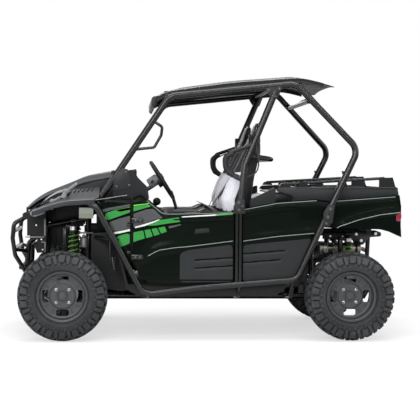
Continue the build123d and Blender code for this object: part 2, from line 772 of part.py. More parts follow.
def front_bumper():
    """Two tube hoops with cross tubes, stays and a winch plate."""
    r = BUMPER_TUBE_R
    hoop = tube([
        (front(318), 300, 905), (front(395), 330, 862), (front(405), 330, 745), (front(385), 330, 615),
        (front(290), 290, 455),
    ], r, 45)
    pieces = [hoop, mirrored(hoop)]
    for x, z in ((front(400), 800), (front(393), 660), (front(340), 520)):
        pieces.append(rod((x, -325, z), (x, 325, z), r))
    for side in (-1, 1):
        pieces.append(rod((front(393), side * 320, 660), (front(292), side * RAIL_Y, 640), r - 3))
    pieces.append(block((front(320), front(328)), (-110, 110), (WINCH_PLATE_Z - 65, WINCH_PLATE_Z + 65)))
    bumper = fused(pieces)
    for y in (-WINCH_Y / 2, WINCH_Y / 2):
        for z in (-WINCH_Z / 2, WINCH_Z / 2):
            bumper -= Pos(front(324), y, WINCH_PLATE_Z + z) * Rot(0, 90, 0) * Cylinder(WINCH_HOLE_R, 20)
    return bumper


def roof_panel():
    """The roof: a shallow shell between the rails with a visor and a spoiler, on four feet."""
    top = CAGE_HEIGHT + 88
    thick = 26
    line = [(front(-672), top - 205), (front(-700), top - 150), (front(-780), top - 118),
            (rear(900), top - 45), (rear(372), top), (rear(96), top - 73)]
    pieces = [strip(line, thick, -565, 565)]
    table = (
        # x, top of the cross tube below, top of the foot
        (front(-780), CAGE_HEIGHT - 102 + 19, top - 118 - thick / 2),
        (rear(600), CAGE_HEIGHT - 30 + 19, top - 40),
    )
    for x, z_low, z_high in table:
        foot = block((x - 20, x + 20), (400, 460), (z_low + SEAT_GAP, z_high))
        pieces += [foot, mirrored(foot)]
    return fused(pieces)


# ---------------------------------------------------------------- cabin
SEAT_HALF = 250.0
HOLD_Y = -40.0  # the passenger hold stands between the cushions
SEAT_BASE_TOP = 840.0
CUSHION_T = 135.0


def dashboard():
    """The dash across the cabin, with a passage for the steering column."""
    main = side_plate([
        (front(-372), 1272), (front(-522), 1285), (front(-562), 1225), (front(-633), 1155),
        (front(-645), 1070), (front(-560), 1000), (front(-372), 1000),
    ], -600, 600, 10)
    return main - rod(column_point(-30), column_point(-480), 24)


def seat_base():
    """The moulded base under both seats, with the console ahead of it."""
    base = side_plate([
        (rear(1420), FLOOR_Z + SEAT_GAP), (rear(1440), 700), (rear(1420), SEAT_BASE_TOP),
        (rear(722), SEAT_BASE_TOP), (rear(722), FLOOR_Z + SEAT_GAP),
    ], -600, 600)
    console = side_plate([
        (rear(1690), 480), (rear(1690), 700), (rear(1560), 850), (rear(1400), 850), (rear(1400), 480),
    ], -75, 75)
    return fused([base, console])


def seat_cushion(side):
    """A seat cushion, higher at its back bolsters."""
    low = SEAT_BASE_TOP + SEAT_GAP
    high = SEAT_BASE_TOP + CUSHION_T
    return side_plate([
        (rear(1440), low), (rear(1462), high - 30), (rear(1430), high), (rear(1150), high),
        (rear(1080), high + 40), (rear(1020), high + 30), (rear(995), low),
    ], side * DRIVER_Y - SEAT_HALF, side * DRIVER_Y + SEAT_HALF, 8)


def seat_back(side):
    """A high backrest with its headrest, standing on the base behind the cushion."""
    low = SEAT_BASE_TOP + SEAT_GAP
    return side_plate([
        (rear(980), low), (rear(992), 1059), (rear(930), 1224), (rear(840), 1400), (rear(760), 1540),
        (rear(722), 1645), (rear(700), 1665), (rear(655), 1655), (rear(660), 1420), (rear(705), 1240),
        (rear(735), 1000), (rear(740), low),
    ], side * DRIVER_Y - SEAT_HALF + 10, side * DRIVER_Y + SEAT_HALF - 10, 8)


def shoulder_guards():
    """Tube hoops beside each seat's shoulder, out from the middle pillar."""
    hoop = tube([
        (rear(750), 648, 1485), (rear(925), 650, 1425), (rear(962), 652, 1375), (rear(950), 655, 1270),
        (rear(826), 668, 1208),
    ], 15, 28)
    return both(hoop)


def grab_handles():
    """A bow on the left front pillar and the passenger's T-shaped hold on the seat base."""
    bow = tube([
        (front(-668), 596, 1660), (front(-741), 600, 1612), (front(-733), 598, 1548),
        (front(-681), 596, 1456), (front(-538), 586, 1440),
    ], 11, 25)
    foot_x = front(-918)
    foot = post(foot_x, HOLD_Y, 20, SEAT_BASE_TOP + SEAT_GAP, SEAT_BASE_TOP + 12)
    hold = tube([
        (foot_x, HOLD_Y, SEAT_BASE_TOP + 6), (front(-838), HOLD_Y, 1110), (front(-838), -330, 1110),
    ], 13, 40)
    return group([bow, fused([foot, hold])])


def gear_lever():
    """The gear lever on the console."""
    stem = rod((rear(1520), 0, 850 + SEAT_GAP + 4), (rear(1464), 0, 1010), 9)
    foot = post(rear(1520), 0, 30, 850 + SEAT_GAP, 850 + 14)
    return fused([stem, foot, Pos(rear(1460), 0, 1030) * Rot(0, 0, 90) * Sphere(32)])


def engine_block():
    """The engine as one block at its real place, with a lug on each rail at both ends."""
    low = TYRE_RADIUS + PROP_SHAFT_R + RUN_GAP
    pieces = [block((rear(250), rear(600)), (-180, 180), (low, 760))]
    for x in (rear(290), rear(520)):
        for side in (-1, 1):
            across = (side * 170, side * (RAIL_Y + 12))
            pieces.append(block((x, x + 40), across, (RAIL_Z + FRAME_TUBE_R + SEAT_GAP, low + 20)))
    return fused(pieces)


def muffler():
    """The silencer inside the rear frame, with its inlet pipe and tail pipe."""
    y, z = 150, 668
    return fused([
        rod((rear(38), y, z), (rear(-178), y, z), 44),
        tube([(rear(250 - SEAT_GAP), 90, 600), (rear(180), 90, 600), (rear(110), y, z), (rear(38), y, z)],
             24, 26),
        rod((rear(-170), y, z + 5), (rear(-222), y, z - 20), 14),
    ])


def reservoir_tank():
    """The small coolant bottle on the left of the front frame."""
    y = RAIL_Y + UPRIGHT_R - 6
    return block((front(-215), front(-105)), (y, y + 72), (903, 985))


# ---------------------------------------------------------------- cargo bed
def bed_x():
    """Front and rear of the bed's walls."""
    return rear(430), rear(-352)


def cargo_bed():
    """The open tub with its floor, walls, pivot ears and the tailgate's hinge lugs."""
    ahead, behind = bed_x()
    w = BED_HALF_WIDTH
    outer = block((behind, ahead), (-w, w), (BED_FLOOR_Z - 25, BED_TOP_Z))
    inner = block((behind - 1, ahead - BED_WALL), (-w + BED_WALL, w - BED_WALL),
                  (BED_FLOOR_Z, BED_TOP_Z + 1))
    pieces = [outer - inner]
    pivot_x = rear(BED_PIVOT_BEHIND)
    for side in (-1, 1):
        y = side * 250
        ear = block((pivot_x - 20, pivot_x + 20), (y - 6, y + 6), (BED_PIVOT_Z - 18, BED_FLOOR_Z - 20))
        pieces.append(ear - disc((pivot_x, BED_PIVOT_Z), BED_PIN_R + PIN_FIT, y - 7, y + 7))
    x, z = gate_pivot()
    for side in (-1, 1):
        y = side * GATE_HINGE_Y
        pieces.append(block((x - 9, behind + 1), (y - 5, y + 5), (z - 9, z + 9)))
        pieces.append(disc((x, z), SMALL_PIN_R, y - 14, y + 14))
    return fused(pieces)


def gate_pivot():
    """The tailgate's hinge axis, as x and z."""
    _, behind = bed_x()
    return behind - TAILGATE_GAP - TAILGATE_T / 2, BED_FLOOR_Z


def bed_rails():
    """A low rail on each side of the bed, on a post at each end."""
    y = BED_HALF_WIDTH - 15
    pieces = [rod((rear(352), y, 1195), (rear(-280), y, 1236), 11)]
    for x, z in ((rear(352), 1195), (rear(-275), 1235)):
        pieces.append(block((x - 35, x + 35), (y - 12, y + 12), (BED_TOP_Z + SEAT_GAP, z + 6)))
    return both(fused(pieces))


def tailgate():
    """The drop gate that closes the bed's rear, notched round its two hinges."""
    x, z = gate_pivot()
    half = TAILGATE_T / 2
    gate = block((x - half, x + half), (-BED_HALF_WIDTH + 8, BED_HALF_WIDTH - 8), (z - 12, BED_TOP_Z - 4))
    for side in (-1, 1):
        y = side * GATE_HINGE_Y
        gate -= block((x - half - 1, x + half + 1), (y - 6, y + 6), (z - 13, z + 22))
        gate -= disc((x, z), SMALL_PIN_R + PIN_FIT, y - 15, y + 15)
    return gate


# ---------------------------------------------------------------- writing the files
COPED = {
    # piece: what it is cut back to, in this order
    "cage_cross_tubes": ("cage_sides",),
    "shoulder_guards": ("cage_sides",),
    "side_tubes": ("cage_sides",),
    "main_frame": ("side_tubes", "cage_sides", "quarter_panels"),
    "front_bumper": ("main_frame",),
    "skid_plate": ("main_frame",),
    "dashboard": ("cage_sides",),
    "grab_handles": ("cage_sides",),
    "radiator": ("main_frame",),
    "reservoir_tank": ("main_frame",),
    "front_fascia": ("main_frame", "front_bumper", "radiator"),
    "front_fenders": ("headlights", "side_tubes", "cage_sides"),
}


def parts():
    """Every node with its shape."""
    table = {
        "main_frame": main_frame, "side_tubes": side_tubes, "skid_plate": skid_plate,
        "hitch_receiver": hitch_receiver, "floor_pan": floor_pan, "cage_sides": cage_sides,
        "cage_cross_tubes": cage_cross_tubes, "roof_panel": roof_panel,
        "front_bumper": front_bumper, "front_fascia": front_fascia,
        "headlights": headlights, "radiator": radiator, "front_fenders": front_fenders,
        "cowl_panels": cowl_panels, "quarter_panels": quarter_panels, "rear_fenders": rear_fenders,
        "dashboard": dashboard, "steering_column": steering_column, "seat_base": seat_base,
        "rear_panel": rear_panel, "shoulder_guards": shoulder_guards, "grab_handles": grab_handles,
        "gear_lever": gear_lever, "engine_block": engine_block, "muffler": muffler,
        "reservoir_tank": reservoir_tank, "front_arms": front_arms, "rear_arms": rear_arms,
        "shocks": shocks, "rear_hubs": rear_hubs, "drive_line": drive_line, "hood": hood,
        "cargo_bed": cargo_bed, "bed_rails": bed_rails, "tailgate": tailgate,
        "steering_wheel": steering_wheel, "steering_rack": steering_rack,
    }
    shapes = {name: make() for name, make in table.items()}
    for name, side in (("driver", 1), ("passenger", -1)):
        shapes[f"{name}_seat_cushion"] = seat_cushion(side)
        shapes[f"{name}_seat_back"] = seat_back(side)
    pairs = {"door": door(), "knuckle": knuckle()}
    for end, is_front in (("front", True), ("rear", False)):
        pairs[f"tyre_{end}"] = tyre(is_front)
        pairs[f"rim_{end}"] = rim(is_front)
    for name, left in pairs.items():
        shapes[f"{name}_left"] = left
        shapes[f"{name}_right"] = mirrored(left)
    for name, cutters in COPED.items():
        for cutter in cutters:
            shapes[name] = coped(shapes[name], shapes[cutter])
    return shapes


def main():
    """Write one STEP file for each node."""
    os.makedirs("parts", exist_ok=True)
    for name, shape in parts().items():
        export_step(shape, f"parts/{name}.step")


main()
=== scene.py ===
"""Looks round the CAD: wheels, skins, seats, springs, lamps and trim."""
from math import cos, exp, hypot, pi, radians, sin

import bmesh
import bpy
from mathutils import Matrix, Vector


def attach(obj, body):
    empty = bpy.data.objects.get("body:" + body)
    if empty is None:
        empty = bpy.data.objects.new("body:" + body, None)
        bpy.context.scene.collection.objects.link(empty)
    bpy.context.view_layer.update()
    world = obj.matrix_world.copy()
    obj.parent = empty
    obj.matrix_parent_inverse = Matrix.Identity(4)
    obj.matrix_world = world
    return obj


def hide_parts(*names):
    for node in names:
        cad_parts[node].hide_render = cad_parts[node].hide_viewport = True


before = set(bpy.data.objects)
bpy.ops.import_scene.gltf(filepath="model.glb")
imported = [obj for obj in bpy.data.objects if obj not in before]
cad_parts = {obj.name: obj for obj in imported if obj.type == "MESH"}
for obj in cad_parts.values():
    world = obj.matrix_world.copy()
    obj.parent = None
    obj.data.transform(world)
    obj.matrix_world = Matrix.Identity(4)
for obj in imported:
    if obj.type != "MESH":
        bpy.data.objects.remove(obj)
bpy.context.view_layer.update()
SIDES = (1, -1)
SIDE_NAME = {1: "left", -1: "right"}
FRONT_AXLE = 1.078
REAR_AXLE = -1.102
AXLE_Z = 0.336


# --------------------------------------------------------------- camera, floor and lamps
CAMERA_AT = (0.6189, 9.5348, 1.2951)
CAMERA_YAW, CAMERA_PITCH, CAMERA_ROLL = radians(4.158), radians(1.988), radians(0.4755)
FOCAL_MM = 100.890857
LAMPS = (
    # name, place, target, size, watts
    ("lamp_overhead", (0.2, 0.6, 6.0), (0, 0, 0.8), (6.0, 3.0), 330),
    ("lamp_camera_side", (2.2, 6.5, 3.6), (0, 0, 0.8), (4.0, 2.5), 190),
    ("lamp_front", (6.0, 0.5, 2.6), (0.5, 0, 0.8), (2.5, 3.0), 110),
    ("lamp_far_side", (-1.0, -6.5, 3.4), (0, 0, 0.9), (4.5, 2.5), 150),
    ("strip_high", (0.0, 4.2, 4.4), (0, 0.6, 1.0), (8.0, 0.14), 120),
    ("strip_low", (0.0, 5.5, 2.5), (0, 0.6, 0.8), (8.0, 0.1), 60),
    ("lamp_rear", (-6.0, 0.8, 3.0), (-0.5, 0, 0.9), (2.5, 3.0), 100),
)
WORLD_FILL = 0.32  # the world's strength for diffuse light; it shows at full strength


def aim_camera():
    """The camera on the vehicle's left, a long lens about ten metres away."""
    lens = bpy.data.cameras.new("camera")
    lens.lens = FOCAL_MM
    lens.clip_end = 200
    yaw, pitch, roll = CAMERA_YAW, CAMERA_PITCH, CAMERA_ROLL
    ahead = Vector((-sin(yaw), -cos(yaw), 0))
    right = Vector((-cos(yaw), sin(yaw), 0))
    up = Vector((0, 0, 1))
    look = cos(pitch) * ahead - sin(pitch) * up
    crown = cos(pitch) * up + sin(pitch) * ahead
    across = cos(roll) * right + sin(roll) * crown
    crown = cos(roll) * crown - sin(roll) * right
    turn = Matrix((across, crown, -look)).transposed().to_4x4()
    camera = bpy.data.objects.new("camera", lens)
    camera.matrix_world = Matrix.Translation(CAMERA_AT) @ turn
    bpy.context.collection.objects.link(camera)
    bpy.context.scene.camera = camera


def lamp(name, at, target, size, watts):
    """A soft rectangular lamp that looks at a point."""
    data = bpy.data.lights.new(name, "AREA")
    data.shape = "RECTANGLE"
    data.size, data.size_y = size
    data.energy = watts
    turn = (Vector(target) - Vector(at)).to_track_quat("-Z", "Y").to_matrix().to_4x4()
    item = bpy.data.objects.new(name, data)
    item.matrix_world = Matrix.Translation(at) @ turn
    bpy.context.collection.objects.link(item)


def light_the_studio():
    """Soft lamps all round, and a world that shows white behind the object."""
    for row in LAMPS:
        lamp(*row)
    world = bpy.data.worlds.new("studio")
    bpy.context.scene.world = world
    world.use_nodes = True
    nodes, links = world.node_tree.nodes, world.node_tree.links
    back = nodes["Background"]
    path = nodes.new("ShaderNodeLightPath")
    seen = nodes.new("ShaderNodeMath")
    seen.operation = "ADD"
    links.new(path.outputs["Is Camera Ray"], seen.inputs[0])
    shine = nodes.new("ShaderNodeMath")
    shine.operation = "ADD"
    links.new(path.outputs["Is Glossy Ray"], shine.inputs[0])
    links.new(path.outputs["Is Transmission Ray"], shine.inputs[1])
    links.new(shine.outputs[0], seen.inputs[1])
    level = nodes.new("ShaderNodeMapRange")
    links.new(seen.outputs[0], level.inputs["Value"])
    level.inputs["To Min"].default_value = WORLD_FILL
    level.inputs["To Max"].default_value = 1.0
    links.new(level.outputs["Result"], back.inputs["Strength"])
    back.inputs["Color"].default_value = (1, 1, 1, 1)
    bpy.context.scene.view_settings.view_transform = "Standard"


def lay_floor():
    """A plain pale floor that keeps the shadow and runs out to white."""
    form = bmesh.new()
    bmesh.ops.create_grid(form, x_segments=1, y_segments=1, size=60)
    mesh = bpy.data.meshes.new("floor")
    form.to_mesh(mesh)
    form.free()
    floor = bpy.data.objects.new("floor", mesh)
    bpy.context.collection.objects.link(floor)
    paint = bpy.data.materials.new("floor_white")
    paint.use_nodes = True
    nodes, links = paint.node_tree.nodes, paint.node_tree.links
    shader = nodes["Principled BSDF"]
    shader.inputs["Base Color"].default_value = (0.86, 0.86, 0.86, 1)
    shader.inputs["Roughness"].default_value = 0.9
    shader.inputs["Specular IOR Level"].default_value = 0.1
    glow = nodes.new("ShaderNodeEmission")
    glow.inputs["Color"].default_value = (1, 1, 1, 1)
    path = nodes.new("ShaderNodeLightPath")
    place = nodes.new("ShaderNodeTexCoord")
    reach = nodes.new("ShaderNodeVectorMath")
    reach.operation = "LENGTH"
    links.new(place.outputs["Object"], reach.inputs[0])
    fade = nodes.new("ShaderNodeMapRange")
    fade.interpolation_type = "SMOOTHSTEP"
    links.new(reach.outputs["Value"], fade.inputs["Value"])
    for key, value in {"From Min": 1.6, "From Max": 4.5, "To Min": 0.6, "To Max": 1.0}.items():
        fade.inputs[key].default_value = value
    share = nodes.new("ShaderNodeMath")
    share.operation = "MULTIPLY"
    links.new(fade.outputs["Result"], share.inputs[1])
    links.new(path.outputs["Is Camera Ray"], share.inputs[0])
    both = nodes.new("ShaderNodeMixShader")
    links.new(share.outputs[0], both.inputs["Fac"])
    links.new(shader.outputs[0], both.inputs[1])
    links.new(glow.outputs[0], both.inputs[2])
    links.new(both.outputs[0], nodes["Material Output"].inputs["Surface"])
    mesh.materials.append(paint)


aim_camera()
light_the_studio()
lay_floor()


# --------------------------------------------------------------- shader maths
class Socket:
    """One output of a shader node; operators on it add the Math nodes."""

    def __init__(self, paint, node, output=0):
        self.paint, self.node = paint, node
        self.socket = node.outputs[output]

    def out(self, name):
        """Another output of the same node."""
        return Socket(self.paint, self.node, name)

    def maths(self, operation, *values):
        """A Math node over values or sockets."""
        return self.paint.node("Math", {"operation": operation}, dict(enumerate(values)))

    def __add__(self, other):
        return self.maths("ADD", self, other)

    def __radd__(self, other):
        return self.maths("ADD", other, self)

    def __sub__(self, other):
        return self.maths("SUBTRACT", self, other)

    def __rsub__(self, other):
        return self.maths("SUBTRACT", other, self)

    def __mul__(self, other):
        return self.maths("MULTIPLY", self, other)

    __rmul__ = __mul__

    def between(self, low, high):
        """0 below low, 1 above high, smooth between."""
        settings = {"interpolation_type": "SMOOTHSTEP"}
        return self.paint.node("MapRange", settings,
                               {"Value": self, "From Min": low, "From Max": high})


class Paint:
    """A material of nodes round one Principled shader."""

    def __init__(self, name, **fixed):
        self.material = bpy.data.materials.new(name)
        self.material.use_nodes = True
        self.tree = self.material.node_tree
        self.shader = self.tree.nodes["Principled BSDF"]
        for key, value in fixed.items():
            self.put(self.shader.inputs[key.replace("_", " ").title().replace("Ior", "IOR")], value)
        self.place = self.node("TexCoord", {}, {}).out("Object")

    def put(self, socket, value):
        """A value or a link into one socket."""
        if isinstance(value, Socket):
            self.tree.links.new(value.socket, socket)
        elif isinstance(value, (tuple, list)) and len(value) == 3 and socket.type == "RGBA":
            socket.default_value = (*value, 1)
        else:
            socket.default_value = value

    def node(self, kind, settings, inputs):
        """Any node: its type, its settings, then the values or links of its sockets."""
        made = self.tree.nodes.new("ShaderNode" + kind)
        for key, value in settings.items():
            setattr(made, key, value)
        for key, value in inputs.items():
            self.put(made.inputs[key], value)
        return Socket(self, made)

    def stretched(self, scale):
        """Object coordinates scaled by a Mapping node."""
        return self.node("Mapping", {}, {"Vector": self.place, "Scale": scale})

    def noise(self, scale, detail=3, rough=0.5, where=None):
        """Cloudy noise, 0 to 1."""
        return self.node("TexNoise", {}, {"Vector": where or self.place, "Scale": scale,
                                          "Detail": detail, "Roughness": rough})

    def cells(self, scale):
        """Distance in a pattern of cells."""
        return self.node("TexVoronoi", {"feature": "F1"}, {"Vector": self.place, "Scale": scale})

    def waves(self, direction, scale):
        """Even bands along one direction, 0 to 1."""
        settings = {"wave_type": "BANDS", "bands_direction": direction}
        return self.node("TexWave", settings, {"Vector": self.place, "Scale": scale})

    def height(self):
        """Height above the ground, in metres."""
        return self.node("SeparateXYZ", {}, {"Vector": self.place}).out("Z")

    def blend(self, factor, low, high):
        """A mix of two colours."""
        made = self.node("Mix", {"data_type": "RGBA"}, {0: factor, 6: low, 7: high})
        return made.out(2)

    def bump(self, height, strength, depth, below=None):
        """Relief from a height, in metres of depth."""
        inputs = {"Height": height, "Strength": strength, "Distance": depth}
        if below is not None:
            inputs["Normal"] = below
        return self.node("Bump", {}, inputs)

    def use(self, **links):
        """Links into the shader, by its own socket names."""
        for key, value in links.items():
            self.put(self.shader.inputs[key.replace("_", " ")], value)
        return self.material


def grey(level):
    """A neutral colour."""
    return (level, level, level)


# --------------------------------------------------------------- finishes
DUST = (0.115, 0.108, 0.1)


def dusted(paint, colour, amount):
    """A colour with a thin film of dust that thickens towards the ground."""
    low = 1 - paint.height().between(0.15, 1.0)
    film = paint.noise(2.2, 5, 0.62) * (low * 0.8 + 0.2) * amount
    return paint.blend(film, colour, DUST)


def gloss_panel(name, deep, tinge):
    """Moulded-in gloss colour with fine orange peel and faint smears."""
    paint = Paint(name, specular_ior_level=0.045)
    smear = paint.noise(5.0, 4, 0.6, paint.stretched((1, 1, 3)))
    colour = paint.blend(paint.noise(1.7, 2), deep, tinge)
    peel = paint.bump(paint.noise(260, 1), 0.05, 0.0006)
    rough = 0.07 + smear.between(0.45, 0.8) * 0.16
    return paint.use(Base_Color=dusted(paint, colour, 0.02), Roughness=rough, Normal=peel)


def grained_plastic(name, colour, light, rough=0.5, grain=900):
    """Matt moulded plastic with a leathery grain and paler scuffs."""
    paint = Paint(name, specular_ior_level=0.16)
    scuff = paint.noise(9, 6, 0.7).between(0.56, 0.8)
    cloud = paint.noise(3.1, 3)
    base = paint.blend(cloud * 0.5 + scuff * 0.35, colour, light)
    pits = paint.cells(grain)
    relief = paint.bump(pits, 0.35, 0.0004)
    worn = rough + scuff * 0.1 - cloud * 0.08
    return paint.use(Base_Color=dusted(paint, base, 0.07), Roughness=worn, Normal=relief)


def powder_coat(name, colour, rough=0.34, level=0.2):
    """Satin black powder coat on steel, with its fine ripple."""
    paint = Paint(name, specular_ior_level=level)
    ripple = paint.bump(paint.noise(420, 2), 0.12, 0.0004)
    wear = paint.noise(14, 6, 0.72).between(0.62, 0.82)
    base = paint.blend(wear * 0.25, colour, grey(0.04))
    return paint.use(Base_Color=dusted(paint, base, 0.04), Roughness=rough + wear * 0.18,
                     Normal=ripple)


def rubber(name, colour, dusty):
    """Rubber with a pebbled skin, cloudy with dust."""
    paint = Paint(name, specular_ior_level=0.35)
    cloud = paint.noise(7, 6, 0.65)
    speck = paint.noise(160, 3, 0.6)
    base = paint.blend(cloud.between(0.35, 0.75) * 0.6 + speck * 0.15, colour, dusty)
    relief = paint.bump(speck, 0.3, 0.0012)
    return paint.use(Base_Color=base, Roughness=0.72 + cloud * 0.16, Normal=relief)


def cast_metal(name, colour, rough, metal):
    """Cast or painted alloy with a fine pebbled skin."""
    paint = Paint(name, metallic=metal, specular_ior_level=0.5)
    cloud = paint.noise(11, 5, 0.6)
    paler = tuple(value * 1.9 + 0.01 for value in colour)
    base = paint.blend(cloud * 0.25, colour, paler)
    relief = paint.bump(paint.noise(300, 3), 0.3, 0.0006)
    return paint.use(Base_Color=dusted(paint, base, 0.12), Roughness=rough + cloud * 0.14,
                     Normal=relief)


def bright_metal(name, colour, rough=0.22):
    """Plated or turned steel."""
    paint = Paint(name, metallic=1.0)
    streak = paint.noise(60, 4, 0.6, paint.stretched((1, 14, 1)))
    return paint.use(Base_Color=paint.blend(streak * 0.3, colour, grey(0.25)),
                     Roughness=rough + streak * 0.2)


def heated_steel(name):
    """The silencer's skin: brushed, straw and brown where it runs hot."""
    paint = Paint(name, metallic=1.0)
    heat = paint.noise(6, 4, 0.6).between(0.35, 0.75)
    brush = paint.noise(90, 4, 0.6, paint.stretched((1, 12, 12)))
    colour = paint.blend(heat, (0.42, 0.4, 0.36), (0.3, 0.25, 0.18))
    return paint.use(Base_Color=colour, Roughness=0.32 + brush * 0.25,
                     Normal=paint.bump(brush, 0.1, 0.0004))


def woven_seat(name, colour, shade):
    """Seat cover cloth: a tight basket weave, heathered."""
    paint = Paint(name, specular_ior_level=0.25, sheen_weight=0.25, sheen_roughness=0.5)
    warp, weft = paint.waves("Y", 150), paint.waves("Z", 150)
    weave = warp.maths("MAXIMUM", warp, weft)
    heather = paint.noise(45, 5, 0.7) * 0.55 + paint.noise(4, 3) * 0.45
    base = paint.blend(heather, colour, shade)
    return paint.use(Base_Color=base, Roughness=0.78 + weave * 0.12,
                     Normal=paint.bump(weave, 0.35, 0.0006))


def vinyl(name, colour, light, grain=380):
    """Seat vinyl or soft-touch skin with leather grain."""
    paint = Paint(name, specular_ior_level=0.22)
    cells = paint.cells(grain)
    fold = paint.noise(16, 4, 0.6)
    base = paint.blend(fold.between(0.4, 0.75) * 0.6, colour, light)
    below = paint.bump(fold, 0.12, 0.003)
    return paint.use(Base_Color=base, Roughness=0.42 + fold * 0.16,
                     Normal=paint.bump(cells, 0.3, 0.0005, below))


def webbing(name, colour, light):
    """Woven strap with a fine herringbone."""
    paint = Paint(name, specular_ior_level=0.3, sheen_weight=0.2)
    twill = paint.waves("DIAGONAL", 190)
    return paint.use(Base_Color=paint.blend(twill * 0.5, colour, light),
                     Roughness=0.7 + twill * 0.1, Normal=paint.bump(twill, 0.4, 0.0005))


def film(name, colour, light, rough=0.2):
    """Printed vinyl film on a panel, with a little mottle; the pale beads use it for a painted
    highlight.
    """
    paint = Paint(name, specular_ior_level=0.4)
    mottle = paint.noise(38, 5, 0.65)
    fade = paint.noise(2.5, 2)
    return paint.use(Base_Color=paint.blend(mottle * 0.25 + fade * 0.5, colour, light),
                     Roughness=rough + mottle * 0.12)


def glowing(name, colour, strength):
    """A lens with a dim glow of its own; on the buckle button, which is no lamp, the glow is
    painted light.
    """
    paint = Paint(name, specular_ior_level=0.5, emission_strength=strength)
    flute = paint.waves("Y", 60)
    tone = paint.blend(flute * 0.6, colour, tuple(value * 0.45 for value in colour))
    return paint.use(Base_Color=tone, Emission_Color=tone, Roughness=0.08 + flute * 0.06,
                     Normal=paint.bump(flute, 0.3, 0.001))


def clear_lens(name):
    """Clear polycarbonate."""
    paint = Paint(name, transmission_weight=1.0, ior=1.49)
    haze = paint.noise(30, 3)
    return paint.use(Base_Color=(0.16, 0.17, 0.18), Roughness=0.02 + haze * 0.04)


def milky_plastic(name, colour):
    """Translucent bottle plastic, with the liquid's level darker."""
    paint = Paint(name, subsurface_weight=0.3, specular_ior_level=0.4)
    liquid = (1 - paint.height().between(0.938, 0.942)) * 0.25
    base = paint.blend(liquid + paint.noise(20, 3) * 0.12, colour, (0.36, 0.44, 0.3))
    return paint.use(Base_Color=base, Roughness=0.34 + paint.noise(60, 3) * 0.1)


def core_fins(name):
    """A radiator core: close fins across flat tubes."""
    paint = Paint(name, metallic=0.8)
    fins, tubes = paint.waves("Y", 150), paint.waves("Z", 32)
    relief = paint.bump(fins * 0.6 + tubes * 0.6, 0.8, 0.003)
    return paint.use(Base_Color=paint.blend(fins * tubes, grey(0.03), grey(0.2)),
                     Roughness=0.4 + fins * 0.2, Normal=relief)


FINISH = {
    "gloss": gloss_panel("gloss_black", (0.0016, 0.0026, 0.002), (0.003, 0.006, 0.004)),
    # edge: the beads' pale colour, a painted highlight along the gloss panels' top edges and
    # creases
    "edge": film("bead_painted_highlight", (0.13, 0.175, 0.15), (0.26, 0.33, 0.28), 0.12),
    "charcoal": grained_plastic("charcoal_plastic", (0.018, 0.0195, 0.022), (0.042, 0.044, 0.048)),
    "lower": grained_plastic("lower_panel_plastic", (0.0125, 0.0135, 0.0155),
                             (0.022, 0.0235, 0.026), 0.46),
    "black": grained_plastic("black_plastic", (0.006, 0.0065, 0.0075), (0.014, 0.0145, 0.016)),
    "grey": grained_plastic("grey_prong_plastic", (0.13, 0.132, 0.138), (0.23, 0.234, 0.245), 0.5,
                            500),
    "frame": powder_coat("frame_black", (0.0042, 0.0046, 0.0052), 0.22, 0.34),
    "bracket": powder_coat("bracket_grey", (0.013, 0.0135, 0.015), 0.42),
    "tyre": rubber("tyre_rubber", (0.015, 0.017, 0.019), (0.036, 0.039, 0.041)),
    "tread": rubber("tread_rubber", (0.013, 0.014, 0.016), (0.062, 0.064, 0.064)),
    "boot": rubber("boot_rubber", (0.012, 0.012, 0.013), (0.03, 0.03, 0.03)),
    "wheel": cast_metal("wheel_grey", (0.034, 0.036, 0.039), 0.42, 0.35),
    "cast": cast_metal("cast_grey", (0.15, 0.15, 0.148), 0.45, 0.75),
    "darkcast": cast_metal("dark_cast", (0.05, 0.05, 0.052), 0.5, 0.6),
    "nut": bright_metal("plated_steel", (0.82, 0.82, 0.8)),
    "bolt": bright_metal("dark_bolt_steel", (0.06, 0.06, 0.064), 0.34),
    "disc": bright_metal("disc_steel", (0.5, 0.49, 0.47), 0.3),
    "exhaust": heated_steel("exhaust_steel"),
    "spring": powder_coat("spring_green", (0.075, 0.2, 0.022), 0.3),
    "cloth": woven_seat("seat_cloth", (0.6, 0.6, 0.66), (0.76, 0.76, 0.82)),
    "vinyl": vinyl("seat_vinyl", (0.009, 0.009, 0.0105), (0.018, 0.018, 0.02)),
    "foam": vinyl("foam_sleeve", (0.012, 0.012, 0.013), (0.022, 0.022, 0.024), 900),
    "belt": webbing("belt_webbing", (0.016, 0.016, 0.018), (0.04, 0.04, 0.044)),
    "net": webbing("guard_net", (0.012, 0.012, 0.014), (0.03, 0.03, 0.033)),
    "green": film("film_green", (0.009, 0.18, 0.033), (0.035, 0.25, 0.03)),
    "yellowgreen": film("film_yellow_green", (0.1, 0.42, 0.03), (0.2, 0.5, 0.05)),
    "greyfilm": film("film_grey", (0.038, 0.04, 0.043), (0.08, 0.081, 0.087)),
    "white": film("film_white", (0.62, 0.63, 0.62), (0.42, 0.44, 0.42)),
    "red": glowing("tail_lens_red", (0.3, 0.006, 0.03), 0.12),
    # orange: the buckle button's red, with a faint glow that is painted light
    "orange": glowing("button_red_painted_glow", (0.45, 0.02, 0.02), 0.05),
    "lens": clear_lens("lamp_lens"),
    "mirror": bright_metal("lamp_reflector", (0.22, 0.23, 0.25), 0.1),
    "bottle": milky_plastic("bottle_plastic", (0.86, 0.9, 0.78)),
    "core": core_fins("radiator_core"),
}


